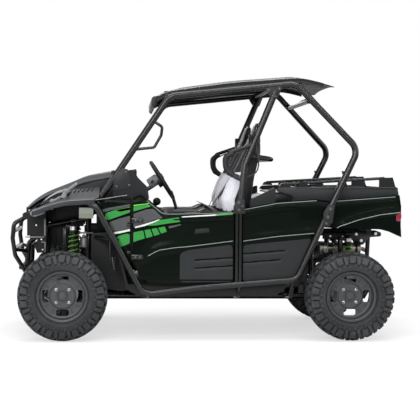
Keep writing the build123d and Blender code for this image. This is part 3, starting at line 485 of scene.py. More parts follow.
# --------------------------------------------------------------- mesh helpers
def finish_piece(form, name, body, finish, bevel=0.0, angle=32, replaces=(), weld=True):
    """A bmesh becomes a piece: clean normals, a finish, its body, and its closing modifiers."""
    if weld:
        bmesh.ops.remove_doubles(form, verts=form.verts, dist=1e-5)
        bmesh.ops.recalc_face_normals(form, faces=form.faces)
    mesh = bpy.data.meshes.new(name)
    form.to_mesh(mesh)
    form.free()
    mesh.shade_smooth()
    mesh.set_sharp_from_angle(angle=radians(angle))
    mesh.materials.append(FINISH[finish])
    piece = bpy.data.objects.new(name, mesh)
    bpy.context.collection.objects.link(piece)
    if bevel:
        edge = piece.modifiers.new("edges", "BEVEL")
        edge.width, edge.segments, edge.limit_method = bevel, 2, "ANGLE"
        edge.angle_limit = radians(angle)
        edge.harden_normals = False
    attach(piece, body)
    if replaces:
        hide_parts(*replaces)
    return piece


def side_body(body, side):
    """The body name on one side; only the doors come in pairs."""
    return f"{body}_{SIDE_NAME[side]}" if body == "door" else body


def sided(form, side, name, body, finish, **closing):
    """A piece that was shaped for the left, on the side that is asked for."""
    form = flipped(form, side)
    finish_piece(form, f"{name}_{SIDE_NAME[side]}", side_body(body, side), finish, **closing)


def joined(forms):
    """Several bmeshes in one."""
    whole = bmesh.new()
    for form in forms:
        mesh = bpy.data.meshes.new("part")
        form.to_mesh(mesh)
        form.free()
        whole.from_mesh(mesh)
        bpy.data.meshes.remove(mesh)
    return whole


def flipped(form, side):
    """The form itself for the left, mirrored in Y for the right."""
    if side < 0:
        bmesh.ops.scale(form, vec=(1, -1, 1), verts=form.verts)
        bmesh.ops.reverse_faces(form, faces=form.faces)
    return form


def brick(x, y, z, bevel=0.0):
    """A box between low and high values, its edges eased."""
    form = bmesh.new()
    size = [abs(b - a) for a, b in (x, y, z)]
    middle = [(a + b) / 2 for a, b in (x, y, z)]
    bmesh.ops.create_cube(form, size=1, matrix=Matrix.Translation(middle)
                          @ Matrix.Diagonal((*size, 1)))
    if bevel:
        ease(form, bevel)
    return form


def ease(form, width, segments=2):
    """Round every edge of a form."""
    bmesh.ops.bevel(form, geom=form.edges[:], offset=width, offset_type="OFFSET", segments=segments,
                    profile=0.5, affect="EDGES", material=-1, clamp_overlap=True)


def facing(axis, at):
    """A matrix that lays +Z along an axis, at a point."""
    turn = Vector(axis).to_track_quat("Z", "Y").to_matrix().to_4x4()
    return Matrix.Translation(at) @ turn


def cone(at, axis, low, high, length, segments=24):
    """A round or many-sided frustum standing on a point along an axis."""
    form = bmesh.new()
    lift = Matrix.Translation((0, 0, length / 2))
    bmesh.ops.create_cone(form, cap_ends=True, segments=segments, radius1=low, radius2=high,
                          depth=length, matrix=facing(axis, at) @ lift)
    return form


def turned(profile, axis, at, steps=48):
    """A closed ring or knob, spun from (radius, height) points about an axis."""
    form = bmesh.new()
    points = [form.verts.new((radius, 0, height)) for radius, height in profile]
    edges = [form.edges.new(pair) for pair in zip(points, points[1:])]
    bmesh.ops.spin(form, geom=points + edges, cent=(0, 0, 0), axis=(0, 0, 1), angle=2 * pi,
                   steps=steps, use_merge=True, use_normal_flip=False)
    bmesh.ops.remove_doubles(form, verts=form.verts, dist=1e-6)
    bmesh.ops.transform(form, matrix=facing(axis, at), verts=form.verts)
    return form


def outline_face(points, plane):
    """One flat face; plane(a, b) puts each outline point in space."""
    form = bmesh.new()
    form.faces.new([form.verts.new(plane(a, b)) for a, b in points])
    return form


def slab(points, low, high, bevel=0.0):
    """A plate with a side-view outline between two values of Y."""
    form = outline_face(points, lambda a, b: (a, low, b))
    grown = bmesh.ops.extrude_face_region(form, geom=form.faces[:])
    moved = [item for item in grown["geom"] if isinstance(item, bmesh.types.BMVert)]
    bmesh.ops.translate(form, vec=(0, high - low, 0), verts=moved)
    bmesh.ops.recalc_face_normals(form, faces=form.faces)
    if bevel:
        ease(form, bevel)
    return form


def sliced(form, step, low, high, axes=(0, 2)):
    """Cut a form along a grid so that it can be curved."""
    for axis in axes:
        count = int((high[axis] - low[axis]) / step)
        normal = [0, 0, 0]
        normal[axis] = 1
        for number in range(1, count + 1):
            at = [0, 0, 0]
            at[axis] = low[axis] + number * step
            bmesh.ops.bisect_plane(form, geom=form.verts[:] + form.edges[:] + form.faces[:],
                                   dist=1e-6, plane_co=at, plane_no=normal)
    return form


def rounded(points, radius, steps=4):
    """An outline with its corners rounded."""
    result = []
    count = len(points)
    for number in range(count):
        here = Vector(points[number])
        before = Vector(points[number - 1]) - here
        after = Vector(points[(number + 1) % count]) - here
        reach = min(radius, before.length * 0.45, after.length * 0.45)
        start, end = here + before.normalized() * reach, here + after.normalized() * reach
        for step in range(steps + 1):
            t = step / steps
            result.append(tuple((1 - t) ** 2 * start + 2 * t * (1 - t) * here + t ** 2 * end))
    return result


def skin(points, surface, step=0.016, thickness=0.004, lift=0.0, out=1):
    """A curved panel with a wall: an outline cut to a grid and pushed out to surface(a, b)."""
    other = 3 - out
    form = outline_face(points, (lambda a, b: (a, 0, b)) if out == 1 else (lambda a, b: (a, b, 0)))
    low, high = [0, 0, 0], [0, 0, 0]
    for axis, values in ((0, [p[0] for p in points]), (other, [p[1] for p in points])):
        low[axis], high[axis] = min(values), max(values)
    sliced(form, step, low, high, axes=(0, other))
    for vert in form.verts:
        vert.co[out] = surface(vert.co.x, vert.co[other]) + lift
    bmesh.ops.recalc_face_normals(form, faces=form.faces)
    if sum(face.normal[out] for face in form.faces) < 0:
        bmesh.ops.reverse_faces(form, faces=form.faces)
    bmesh.ops.solidify(form, geom=form.faces[:], thickness=thickness)
    return form


def pipe(points, radius, smooth=6, sides=12, order=3):
    """A round bar along a smooth path, as a bmesh."""
    path = bpy.data.curves.new("path", "CURVE")
    path.dimensions = "3D"
    path.bevel_depth = radius
    path.bevel_resolution = max(1, sides // 4 - 1)
    path.resolution_u = smooth
    path.use_fill_caps = True
    line = path.splines.new("NURBS")
    line.points.add(len(points) - 1)
    for spot, point in zip(line.points, points):
        spot.co = (*point, 1)
    line.order_u = order
    line.use_endpoint_u = True
    item = bpy.data.objects.new("path", path)
    mesh = bpy.data.meshes.new_from_object(item)
    form = bmesh.new()
    form.from_mesh(mesh)
    bpy.data.objects.remove(item)
    bpy.data.curves.remove(path)
    bpy.data.meshes.remove(mesh)
    bmesh.ops.remove_doubles(form, verts=form.verts, dist=1e-6)
    return form


def bolt(at, axis, size=0.008, washer=True):
    """A hexagon head with its washer."""
    parts = [cone(at, axis, size, size * 0.93, size * 0.75, 6)]
    if washer:
        parts.append(cone(at, axis, size * 1.4, size * 1.35, size * 0.22, 16))
    return joined(parts)


def bolts(name, body, spots, finish="bolt"):
    """A set of bolt heads as one piece; each spot is (point, axis, size)."""
    finish_piece(joined([bolt(*spot) for spot in spots]), name, body, finish, bevel=0.0006)


def paint_node(node, finish):
    """A new finish on a CAD node's own slots."""
    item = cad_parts[node]
    if not item.material_slots:
        item.data.materials.append(FINISH[finish])
    for slot in item.material_slots:
        slot.material = FINISH[finish]


# --------------------------------------------------------------- wheels
WHEELS = (
    # end, axle x, middle y, tyre width, half rim width
    ("front", FRONT_AXLE, 0.668, 0.229, 0.089),
    ("rear", REAR_AXLE, 0.643, 0.279, 0.102),
)
LUG_HEIGHT = 0.021
LUG_PITCHES = 18
TREAD_RADIUS = AXLE_Z + 0.002
WHEEL_FACE = 0.036  # how far the dished face stands out from the wheel's middle
NUT_CIRCLE = 0.0685  # radius


def tyre_section(width, rim_half):
    """Half of the carcass section from crown to bead, as (across, radius) points."""
    half = width / 2
    crown = TREAD_RADIUS - LUG_HEIGHT
    return [(0, crown), (half - 0.052, crown - 0.003), (half - 0.03, crown - 0.011),
            (half - 0.014, crown - 0.028), (half - 0.005, crown - 0.05),
            (half - 0.001, crown - 0.075), (half - 0.0035, crown - 0.094),
            (half - 0.002, crown - 0.098), (half - 0.009, crown - 0.112), (half - 0.018, 0.202),
            (rim_half - 0.004, 0.1955), (rim_half - 0.009, 0.19)]


def tyre_carcass(width, rim_half):
    """The tyre's body, closed round its inside."""
    outer = tyre_section(width, rim_half)
    inner = [(outer[-1][0] - 0.004, 0.18), (width / 2 - 0.03, 0.23), (width / 2 - 0.05, 0.28),
             (0, 0.3)]
    right = outer + inner
    left = [(-across, radius) for across, radius in reversed(outer[1:] + inner[:-1])]
    loop = right + left
    return turned([(radius, across) for across, radius in loop + loop[:1]], (0, 1, 0), (0, 0, 0),
                  72)


def wrap_lug(form, section, turn):
    """Bend a lug from (along, across, height) onto the tread at an angle."""
    lengths = [0]
    for (a, b), (c, d) in zip(section, section[1:]):
        lengths.append(lengths[-1] + hypot(c - a, d - b))
    for vert in form.verts:
        along, across, height = vert.co
        side = 1 if across >= 0 else -1
        left = min(abs(across), lengths[-1] - 1e-4)
        index = max(number for number, value in enumerate(lengths[:-1]) if value <= left)
        t = (left - lengths[index]) / (lengths[index + 1] - lengths[index])
        (a, b), (c, d) = section[index], section[index + 1]
        slope = Vector((c - a, d - b)).normalized()
        outward = Vector((-slope.y, slope.x))
        spot = Vector((a + (c - a) * t, b + (d - b) * t)) + outward * height
        angle = turn + along / TREAD_RADIUS
        vert.co = (spot.y * sin(angle), side * spot.x, spot.y * cos(angle))


def lug(across, length, width, skew, height):
    """One tread block in flat space, tapered, skewed and cut across so that it can bend."""
    form = bmesh.new()
    bmesh.ops.create_cube(form, size=1)
    for vert in form.verts:
        narrow = 0.82 if vert.co.z > 0 else 1.0
        vert.co = Vector((vert.co.x * length * narrow, vert.co.y * width * (0.5 + narrow / 2),
                          vert.co.z))
    ease(form, 0.0022, 1)
    sliced(form, 0.014, (0, -width / 2, 0), (0, width / 2, 0), axes=(1,))
    for vert in form.verts:
        vert.co.z = (vert.co.z + 0.5) * (height + 0.004) - 0.004
        vert.co.x += skew * vert.co.y
        vert.co.y += across
    return form


def tread(width, rim_half, flip):
    """All the lugs of one tyre: staggered centre blocks, shoulder blocks and side biters."""
    section = tyre_section(width, rim_half)
    pitch = 2 * pi * TREAD_RADIUS / LUG_PITCHES
    edge = width / 2
    table = (
        # along in pitches, across, length, width, skew, height
        (0.0, 0.024, 0.042, 0.042, 0.35, LUG_HEIGHT),
        (0.5, 0.027, 0.04, 0.046, -0.45, LUG_HEIGHT),
        (0.26, edge * 0.6, 0.042, 0.038, 0.5, LUG_HEIGHT),
        (0.76, edge * 0.62, 0.036, 0.032, -0.3, LUG_HEIGHT * 0.96),
        (0.02, edge * 1.02, 0.062, 0.05, 0.16, LUG_HEIGHT * 0.98),
        (0.55, edge * 1.06, 0.036, 0.064, -0.1, LUG_HEIGHT * 0.82),
        (0.27, edge * 1.36, 0.026, 0.03, 0.1, 0.008),
        (0.77, edge * 1.32, 0.026, 0.022, 0.0, 0.007),
    )
    forms = []
    for number in range(LUG_PITCHES):
        for side in SIDES:
            offset = 0.0 if side > 0 else 0.5
            for along, across, length, wide, skew, height in table:
                block = lug(side * across, length, wide, side * skew * flip, height)
                wrap_lug(block, section, (number + along + offset) * pitch / TREAD_RADIUS)
                forms.append(block)
    return joined(forms)


def cut_by(form, cutters):
    """A form with cutters taken away by a Boolean modifier, as a bmesh."""
    objects = []
    for name, shape in (("body", form), ("tool", joined(cutters))):
        bmesh.ops.recalc_face_normals(shape, faces=shape.faces)
        mesh = bpy.data.meshes.new(name)
        shape.to_mesh(mesh)
        shape.free()
        item = bpy.data.objects.new(name, mesh)
        bpy.context.collection.objects.link(item)
        objects.append(item)
    body, tool = objects
    cut = body.modifiers.new("cut", "BOOLEAN")
    cut.operation, cut.object, cut.solver = "DIFFERENCE", tool, "EXACT"
    result = bmesh.new()
    result.from_object(body, bpy.context.evaluated_depsgraph_get())
    for item in objects:
        mesh = item.data
        bpy.data.objects.remove(item)
        bpy.data.meshes.remove(mesh)
    return result


def wheel_rim(rim_half, hub_start):
    """The cast wheel: barrel, flanges and a dished face with its windows, slots and nut seats."""
    low, high, face = -rim_half, rim_half, WHEEL_FACE
    profile = [
        (0.021, face - 0.012), (0.021, hub_start), (0.05, hub_start), (0.053, face - 0.02),
        (0.098, face - 0.022), (0.15, face - 0.024), (0.168, face - 0.03), (0.169, low + 0.02),
        (0.172, low + 0.002), (0.189, low + 0.0005), (0.192, low + 0.003), (0.1915, low + 0.008),
        (0.1785, low + 0.0095), (0.177, low + 0.03), (0.165, low + 0.045), (0.165, high - 0.045),
        (0.177, high - 0.03), (0.1785, high - 0.0095), (0.1915, high - 0.008),
        (0.192, high - 0.003), (0.189, high - 0.0005), (0.1835, high - 0.002),
        (0.1815, high - 0.006), (0.174, high - 0.009), (0.1715, high - 0.022),
        (0.168, face + 0.006), (0.162, face + 0.002), (0.157, face - 0.001), (0.148, face - 0.003),
        (0.1, face - 0.001), (0.094, face + 0.003), (0.09, face + 0.006), (0.05, face + 0.006),
        (0.047, face + 0.003), (0.021, face + 0.003), (0.021, face - 0.012),
    ]
    form = turned(profile, (0, 1, 0), (0, 0, 0), 96)
    cutters = []
    for quarter in range(4):
        window = brick((-0.047, 0.047), (face - 0.05, face + 0.03), (0.1, 0.15))
        upright = [edge for edge in window.edges
                   if abs(edge.verts[0].co.y - edge.verts[1].co.y) > 0.01]
        bmesh.ops.bevel(window, geom=upright, offset=0.016, offset_type="OFFSET", segments=4,
                        profile=0.5, affect="EDGES", material=-1)
        bmesh.ops.rotate(window, verts=window.verts, cent=(0, 0, 0),
                         matrix=Matrix.Rotation(quarter * pi / 2, 3, "Y"))
        cutters.append(window)
        for nudge in (-13, 13):
            slot = brick((-0.0035, 0.0035), (face - 0.008, face + 0.03), (0.118, 0.152))
            spin = Matrix.Rotation(radians(45 + nudge) + quarter * pi / 2, 3, "Y")
            bmesh.ops.rotate(slot, verts=slot.verts, cent=(0, 0, 0), matrix=spin)
            cutters.append(slot)
        nut = radians(45) + quarter * pi / 2
        seat = (NUT_CIRCLE * sin(nut), face - 0.001, NUT_CIRCLE * cos(nut))
        cutters.append(cone(seat, (0, 1, 0), 0.014, 0.016, 0.03, 24))
    return cut_by(form, cutters)


def wheel_nut(spot):
    """An acorn nut on its stud."""
    return turned([(0, 0.026), (0.004, 0.0255), (0.0075, 0.022), (0.009, 0.016), (0.0095, 0.008),
                   (0.0125, 0.006), (0.0125, 0)], (0, 1, 0), spot, 12)


def build_wheels():
    """Tyre, rim, nuts, cap and valve of each wheel."""
    for end, axle, middle, width, rim_half in WHEELS:
        hub_start = (0.55 if end == "front" else 0.485) - middle
        for side in SIDES:
            name = f"{end}_{SIDE_NAME[side]}"
            body = f"wheel_{name}"
            place = Matrix.Translation((axle, side * middle, AXLE_Z))
            face = WHEEL_FACE
            turns = [radians(45 + 90 * number) for number in range(4)]
            nuts = [wheel_nut((NUT_CIRCLE * sin(turn), face - 0.002, NUT_CIRCLE * cos(turn)))
                    for turn in turns]
            cap = turned([(0, face + 0.015), (0.02, face + 0.0145), (0.034, face + 0.011),
                          (0.037, face + 0.007), (0.039, face + 0.002), (0.039, face - 0.004)],
                         (0, 1, 0), (0, 0, 0), 32)
            cap_ring = turned([(0.026, face + 0.0138), (0.0275, face + 0.0155),
                               (0.029, face + 0.0128)],
                              (0, 1, 0), (0, 0, 0), 32)
            valve = cone((0.158 * sin(0.4), face + 0.002, 0.158 * cos(0.4)), (0, 1, 0), 0.004,
                         0.0035, 0.03, 10)
            weights = brick((0.166, 0.1695), (face + 0.012, face + 0.03), (-0.02, 0.02), 0.001)
            table = (
                # piece, form, finish, replaced node
                ("carcass", tyre_carcass(width, rim_half), "tyre", f"tyre_{name}"),
                ("tread", tread(width, rim_half, side), "tread", None),
                ("wheel", wheel_rim(rim_half, hub_start), "wheel", f"rim_{name}"),
                ("nuts", joined(nuts), "nut", None),
                ("cap", joined([cap, cap_ring]), "wheel", None),
                ("valve", joined([valve, weights]), "bolt", None),
            )
            for part, form, finish, node in table:
                flipped(form, side)
                bmesh.ops.transform(form, matrix=place, verts=form.verts)
                finish_piece(form, f"{part}_{name}", body, finish, angle=28 if part == "wheel"
                             else 35, replaces=(node,) if node else (), weld=part != "tread")


build_wheels()


# --------------------------------------------------------------- finishes of the CAD nodes
for finish, names in {
    "frame": "main_frame side_tubes cage_sides cage_cross_tubes front_bumper shoulder_guards "
             "grab_handles bed_rails steering_column front_arms rear_arms hitch_receiver",
    "gloss": "door_left door_right quarter_panels rear_fenders tailgate cowl_panels",
    "charcoal": "cargo_bed",
    "black": "dashboard seat_base rear_panel floor_pan front_fascia skid_plate gear_lever "
             "steering_wheel front_fenders",
    "cast": "steering_rack",
    "darkcast": "engine_block drive_line knuckle_left knuckle_right rear_hubs",
    "core": "radiator",
    "exhaust": "muffler",
    "bottle": "reservoir_tank",
}.items():
    for name in names.split():
        paint_node(name, finish)


# --------------------------------------------------------------- side panels
def between(x, table):
    """Straight-line value from a table of (x, value), x falling or rising."""
    table = sorted(table)
    if x <= table[0][0]:
        return table[0][1]
    for (a, b), (c, d) in zip(table, table[1:]):
        if x <= c:
            return b + (d - b) * (x - a) / (c - a)
    return table[-1][1]


GROOVE_HALF = 0.011


def swell(value, middle, above, below):
    """A rounded ridge, 1 at its middle, wider on one side than the other."""
    gap = value - middle
    return exp(-(gap / (above if gap > 0 else below)) ** 2)


def ramp(value, low, high):
    """0 to 1, smooth."""
    t = min(1.0, max(0.0, (value - low) / (high - low)))
    return t * t * (3 - 2 * t)


DOOR_TOP = ((-0.2085, 0.979), (0.218, 0.966), (0.33, 0.966), (0.494, 1.1), (0.554, 1.08))
DOOR_CREASE = ((-0.205, 0.754), (0.146, 0.709), (0.25, 0.7), (0.36, 0.682), (0.43, 0.645),
               (0.5, 0.6))
QUARTER_TOP = ((-0.9635, 1.062), (-0.842, 1.074), (-0.542, 1.052), (-0.2765, 1.0))
QUARTER_CREASE = ((-0.83, 0.815), (-0.55, 0.79), (-0.268, 0.751))
TAIL_TOP = ((-1.496, 1.11), (-1.006, 1.071), (-0.962, 1.06))
TAIL_CREASE = ((-1.5, 0.978), (-1.33, 0.958), (-1.17, 0.92), (-1.02, 0.868), (-0.9, 0.8))


def rolled(z, top, reach=0.045):
    """How far a panel's top edge has rolled inwards at height z."""
    return 0.022 * max(0.0, 1 - (top - z) / reach) ** 2


def door_surface(x, z):
    """How far out the door's skin stands."""
    top = between(x, DOOR_TOP)
    y = 0.6745 - rolled(z, top)
    strength = ramp(x, 0.55, 0.4)
    y += 0.013 * strength * swell(z, between(x, DOOR_CREASE), 0.06, 0.016)
    y -= 0.006 * ramp(z, between(x, DOOR_CREASE) - 0.012, between(x, DOOR_CREASE) - 0.03) * strength
    y -= 0.005 * ramp(top - z, 0.05, 0.062) * ramp(x, 0.3, 0.2) * ramp(top - z, 0.16, 0.08)
    y += 0.006 * swell(z, 0.455, 0.02, 0.02)
    return y


def cowl_surface(x, z):
    """How far out the panel ahead of the door stands."""
    edge = between(z, ((0.575, 0.598), (0.93, 0.7617), (1.03, 0.81), (1.09, 0.8)))
    fall = ramp(edge - x, 0.05, 0.0)
    return 0.6715 - rolled(z, between(x, ((0.57, 1.076), (0.748, 1.09),
                                          (0.815, 1.06)))) - 0.012 * fall


def quarter_surface(x, z):
    """How far out the panel behind the door stands."""
    top, crease = between(x, QUARTER_TOP), between(x, QUARTER_CREASE)
    y = 0.6665 - rolled(z, top, 0.05)
    y += 0.011 * swell(z, crease, 0.05, 0.014)
    y -= 0.005 * ramp(z, crease - 0.01, crease - 0.028)
    y -= 0.004 * ramp(top - z, 0.05, 0.062) * ramp(x, -0.75, -0.6) * ramp(top - z, 0.16, 0.08)
    return y


def tail_surface(x, z):
    """How far out the panel beside the bed stands."""
    top, crease = between(x, TAIL_TOP), between(x, TAIL_CREASE)
    y = 0.6605 - rolled(z, top, 0.04)
    y += 0.016 * swell(z, crease, 0.03, 0.01) * ramp(x, -0.98, -1.08)
    y -= 0.012 * ramp(z, crease, crease - 0.03)
    return y - 0.02 * ramp(x, -1.44, -1.5)


def groove(x, z, middle, start, end):
    """A pressed groove that runs along x, with round ends."""
    beyond = max(0.0, x - start, end - x)
    return exp(-((z - middle) ** 2 + beyond ** 2) / GROOVE_HALF ** 2)


def lower_door_surface(x, z):
    """The grey lower panel of the door, with its two grooves."""
    y = 0.6735 - 0.007 * groove(x, z, 0.606 + (0.093 - x) * 0.07, 0.085, -0.3)
    return y - 0.007 * groove(x, z, 0.545 + (0.093 - x) * 0.07, 0.085, -0.3)


def lower_quarter_surface(x, z):
    """The grey lower panel behind the door, with its two grooves."""
    y = 0.6665 - 0.007 * groove(x, z, 0.655 + (-0.27 - x) * 0.08, -0.2, -0.6)
    return y - 0.007 * groove(x, z, 0.588 + (-0.27 - x) * 0.08, -0.2, -0.565)


SHELL_WALL = 0.006
SKINS = (
    # piece, body, finish, outline, corner, surface, step
    ("door_skin", "door", "gloss",
     ((0.5535, 1.077), (0.494, 1.099), (0.33, 0.962), (0.218, 0.963), (-0.208, 0.977),
      (-0.208, 0.434), (0.318, 0.425), (0.44, 0.44), (0.503, 0.485), (0.5535, 0.592)), 0.016,
     door_surface, 0.014),
    ("door_lower", "door", "lower",
     ((0.2, 0.437), (0.2, 0.655), (0.15, 0.681), (-0.2, 0.726), (-0.203, 0.44)), 0.035,
     lower_door_surface, 0.011),
    ("cowl_skin", "chassis", "gloss",
     ((0.577, 1.073), (0.748, 1.089), (0.812, 1.03), (0.757, 0.93), (0.598, 0.59), (0.577, 0.578)),
     0.012, cowl_surface, 0.014),
    ("quarter_skin", "chassis", "gloss",
     ((-0.277, 0.999), (-0.542, 1.049), (-0.842, 1.071), (-0.955, 1.058), (-0.704, 0.5),
      (-0.665, 0.474), (-0.582, 0.46), (-0.277, 0.438)), 0.014, quarter_surface, 0.014),
    ("quarter_lower", "chassis", "lower",
     ((-0.281, 0.446), (-0.281, 0.722), (-0.806, 0.774), (-0.69, 0.512), (-0.652, 0.468)), 0.03,
     lower_quarter_surface, 0.011),
    ("tail_skin", "chassis", "gloss",
     ((-0.966, 1.057), (-1.006, 1.068), (-1.482, 1.107), (-1.495, 1.02), (-1.493, 0.88),
      (-1.499, 0.787), (-1.402, 0.829), (-1.332, 0.846), (-1.006, 0.851), (-0.874, 0.861)), 0.01,
     tail_surface, 0.013),
)


def build_skins():
    """Every side panel, left and right."""
    for name, body, finish, outline, corner, surface, step in SKINS:
        for side in SIDES:
            form = skin(rounded(outline, corner), surface, step, SHELL_WALL)
            sided(form, side, name, body, finish, bevel=0.0015, angle=50)


build_skins()


# --------------------------------------------------------------- coloured film on the sides
FILM_WALL = 0.0004
FILM_LIFT = 0.0007
FILMS = (
    # piece, body, finish, surface, outline
    ("stripe_high", "chassis", "green", cowl_surface,
     ((0.764, 0.94), (0.757, 0.958), (0.699, 0.98), (0.577, 1.004), (0.577, 0.966), (0.68, 0.928),
      (0.742, 0.906))),
    ("stripe_high_glow", "chassis", "yellowgreen", cowl_surface,
     ((0.69, 0.9835), (0.577, 1.006), (0.577, 0.985), (0.65, 0.97))),
    ("stripe_high_grey", "chassis", "greyfilm", cowl_surface,
     ((0.775, 0.963), (0.72, 0.982), (0.61, 1.004), (0.577, 1.01), (0.577, 1.028), (0.74, 0.998),
      (0.787, 0.985))),
    ("band_cowl", "chassis", "greyfilm", cowl_surface,
     ((0.735, 0.89), (0.66, 0.918), (0.577, 0.94), (0.577, 0.842), (0.63, 0.832), (0.71, 0.823))),
    ("band_white_cowl", "chassis", "white", cowl_surface,
     ((0.7, 0.815), (0.62, 0.83), (0.577, 0.84), (0.577, 0.824),
                                                           (0.69, 0.8))),
    ("block_cowl", "chassis", "green", cowl_surface,
     ((0.683, 0.774), (0.655, 0.7), (0.59, 0.727), (0.578, 0.735), (0.579, 0.8), (0.6, 0.806),
      (0.66, 0.789))),
    ("stripe_high_door", "door", "green", door_surface,
     ((0.551, 1.01), (0.44, 1.024), (0.42, 1.012), (0.46, 1.0), (0.551, 0.972))),
    ("stripe_high_door_glow", "door", "yellowgreen", door_surface,
     ((0.551, 1.022), (0.43, 1.035), (0.44, 1.028), (0.551, 1.013))),
    ("band_door", "door", "greyfilm", door_surface,
     ((0.551, 0.955), (0.45, 0.99), (0.4, 0.992), (0.37, 0.962), (0.33, 0.925), (0.4, 0.9),
      (0.48, 0.875), (0.551, 0.855))),
    ("band_white_door", "door", "white", door_surface,
     ((0.54, 0.862), (0.46, 0.887), (0.37, 0.918), (0.35, 0.912), (0.4, 0.888), (0.47, 0.862),
      (0.54, 0.846))),
    ("wedge_door", "door", "green", door_surface,
     ((0.45, 0.866), (0.35, 0.91), (0.21, 0.93), (0.2, 0.896), (0.3, 0.882), (0.38, 0.868))),
    ("block_door_1", "door", "green", door_surface,
     ((0.551, 0.815), (0.478, 0.83), (0.465, 0.77), (0.5, 0.76), (0.551, 0.742))),
    ("block_door_2", "door", "green", door_surface,
     ((0.468, 0.832), (0.425, 0.84), (0.405, 0.786), (0.455, 0.772))),
    ("block_door_3", "door", "green", door_surface,
     ((0.415, 0.842), (0.375, 0.849), (0.352, 0.802), (0.396, 0.789))),
    ("block_door_4", "door", "green", door_surface,
     ((0.365, 0.851), (0.315, 0.86), (0.3, 0.822), (0.342, 0.806))),
    ("line_door", "door", "greyfilm", door_surface,
     ((0.29, 0.862), (0.2, 0.878), (0.19, 0.872), (0.28, 0.845))),
    ("belt_line_pale", "door", "white", door_surface,
     ((0.19, 0.929), (-0.06, 0.9435), (-0.09, 0.951), (-0.06, 0.9535), (0.185, 0.937))),
    ("belt_line_green", "door", "green", door_surface,
     ((-0.075, 0.944), (-0.2, 0.953), (-0.204, 0.967), (-0.1, 0.96))),
)


def build_films():
    """The stripes and slanted blocks, each a thin film that follows its panel."""
    for name, body, finish, surface, outline in FILMS:
        for side in SIDES:
            form = skin(rounded(outline, 0.004, 2), surface, 0.014, FILM_WALL, FILM_LIFT)
            sided(form, side, name, body, finish, angle=60)


build_films()


def build_beads():
    """The raised bead along the tops of the body panels and their creases, coloured pale as a
    painted highlight on the gloss edges.
    """
    lines = (
        # name, body, surface, line, how far below it, ends of the bead
        ("door_top", "door", door_surface, DOOR_TOP, 0.012, (-0.2, 0.45)),
        ("door_crease", "door", door_surface, DOOR_CREASE, 0.0, (-0.2, 0.44)),
        ("quarter_top", "chassis", quarter_surface, QUARTER_TOP, 0.012, (-0.84, -0.285)),
        ("quarter_crease", "chassis", quarter_surface, QUARTER_CREASE, 0.0, (-0.82, -0.28)),
        ("tail_top", "chassis", tail_surface, TAIL_TOP, 0.012, (-1.485, -0.97)),
        ("tail_crease", "chassis", tail_surface, TAIL_CREASE, 0.0, (-1.485, -1.0)),
    )
    for name, body, surface, line, below, (start, end) in lines:
        for side in SIDES:
            points = []
            for step in range(25):
                x = start + (end - start) * step / 24
                z = between(x, line) - below
                points.append((x, side * (surface(x, z) + 0.0008), z))
            # the edge finish paints each bead pale: a painted highlight
            finish_piece(pipe(points, 0.003, 3, 8), f"bead_{name}_{SIDE_NAME[side]}",
                         side_body(body, side), "edge")


build_beads()


# --------------------------------------------------------------- hood, fenders and nose
HOOD_LINE = ((1.385, 0.985), (1.37, 1.0), (1.316, 1.054), (1.215, 1.117), (1.052, 1.182),
             (0.917, 1.241), (0.72, 1.281))
FENDER_LINE = ((0.838, 1.06), (0.958, 1.052), (1.078, 1.045), (1.188, 1.012), (1.308, 0.965))
FENDER_INNER = ((0.72, 1.165), (0.81, 1.16), (1.02, 1.138), (1.1, 1.1), (1.2, 1.04), (1.308, 0.975))
LAMP_TOP = ((1.035, 1.136), (1.12, 1.126), (1.215, 1.072), (1.283, 1.0))


def eased(x, table, reach=0.04):
    """A value from a table with its corners rounded off."""
    low, high = min(p[0] for p in table), max(p[0] for p in table)
    reach = max(0.0, min(reach, x - low, high - x))
    return sum(between(x + reach * step / 3, table) for step in range(-3, 4)) / 7


def hood_surface(x, y):
    """Height of the hood: a crowned middle between two ridges, falling to the sides."""
    top = eased(x, HOOD_LINE)
    fall = 0.052 * (abs(y) / 0.34) ** 2.8
    ridge = 0.007 * swell(abs(y), 0.19 + (1.385 - x) * 0.1, 0.02, 0.05)
    dip = 0.008 * swell(abs(y), 0.0, 0.09, 0.09) * ramp(x, 1.36, 1.2)
    return top - fall + ridge - dip


def fender_surface(x, y):
    """Height of the fender from the hood's side out to its lip."""
    t = min(1.0, max(0.0, (abs(y) - 0.352) / (0.7 - 0.352)))
    inner, outer = eased(x, FENDER_INNER), eased(x, FENDER_LINE)
    scoop = 0.012 * sin(pi * t) + 0.012 * t ** 6
    return inner + (outer - inner) * t + scoop - 0.004


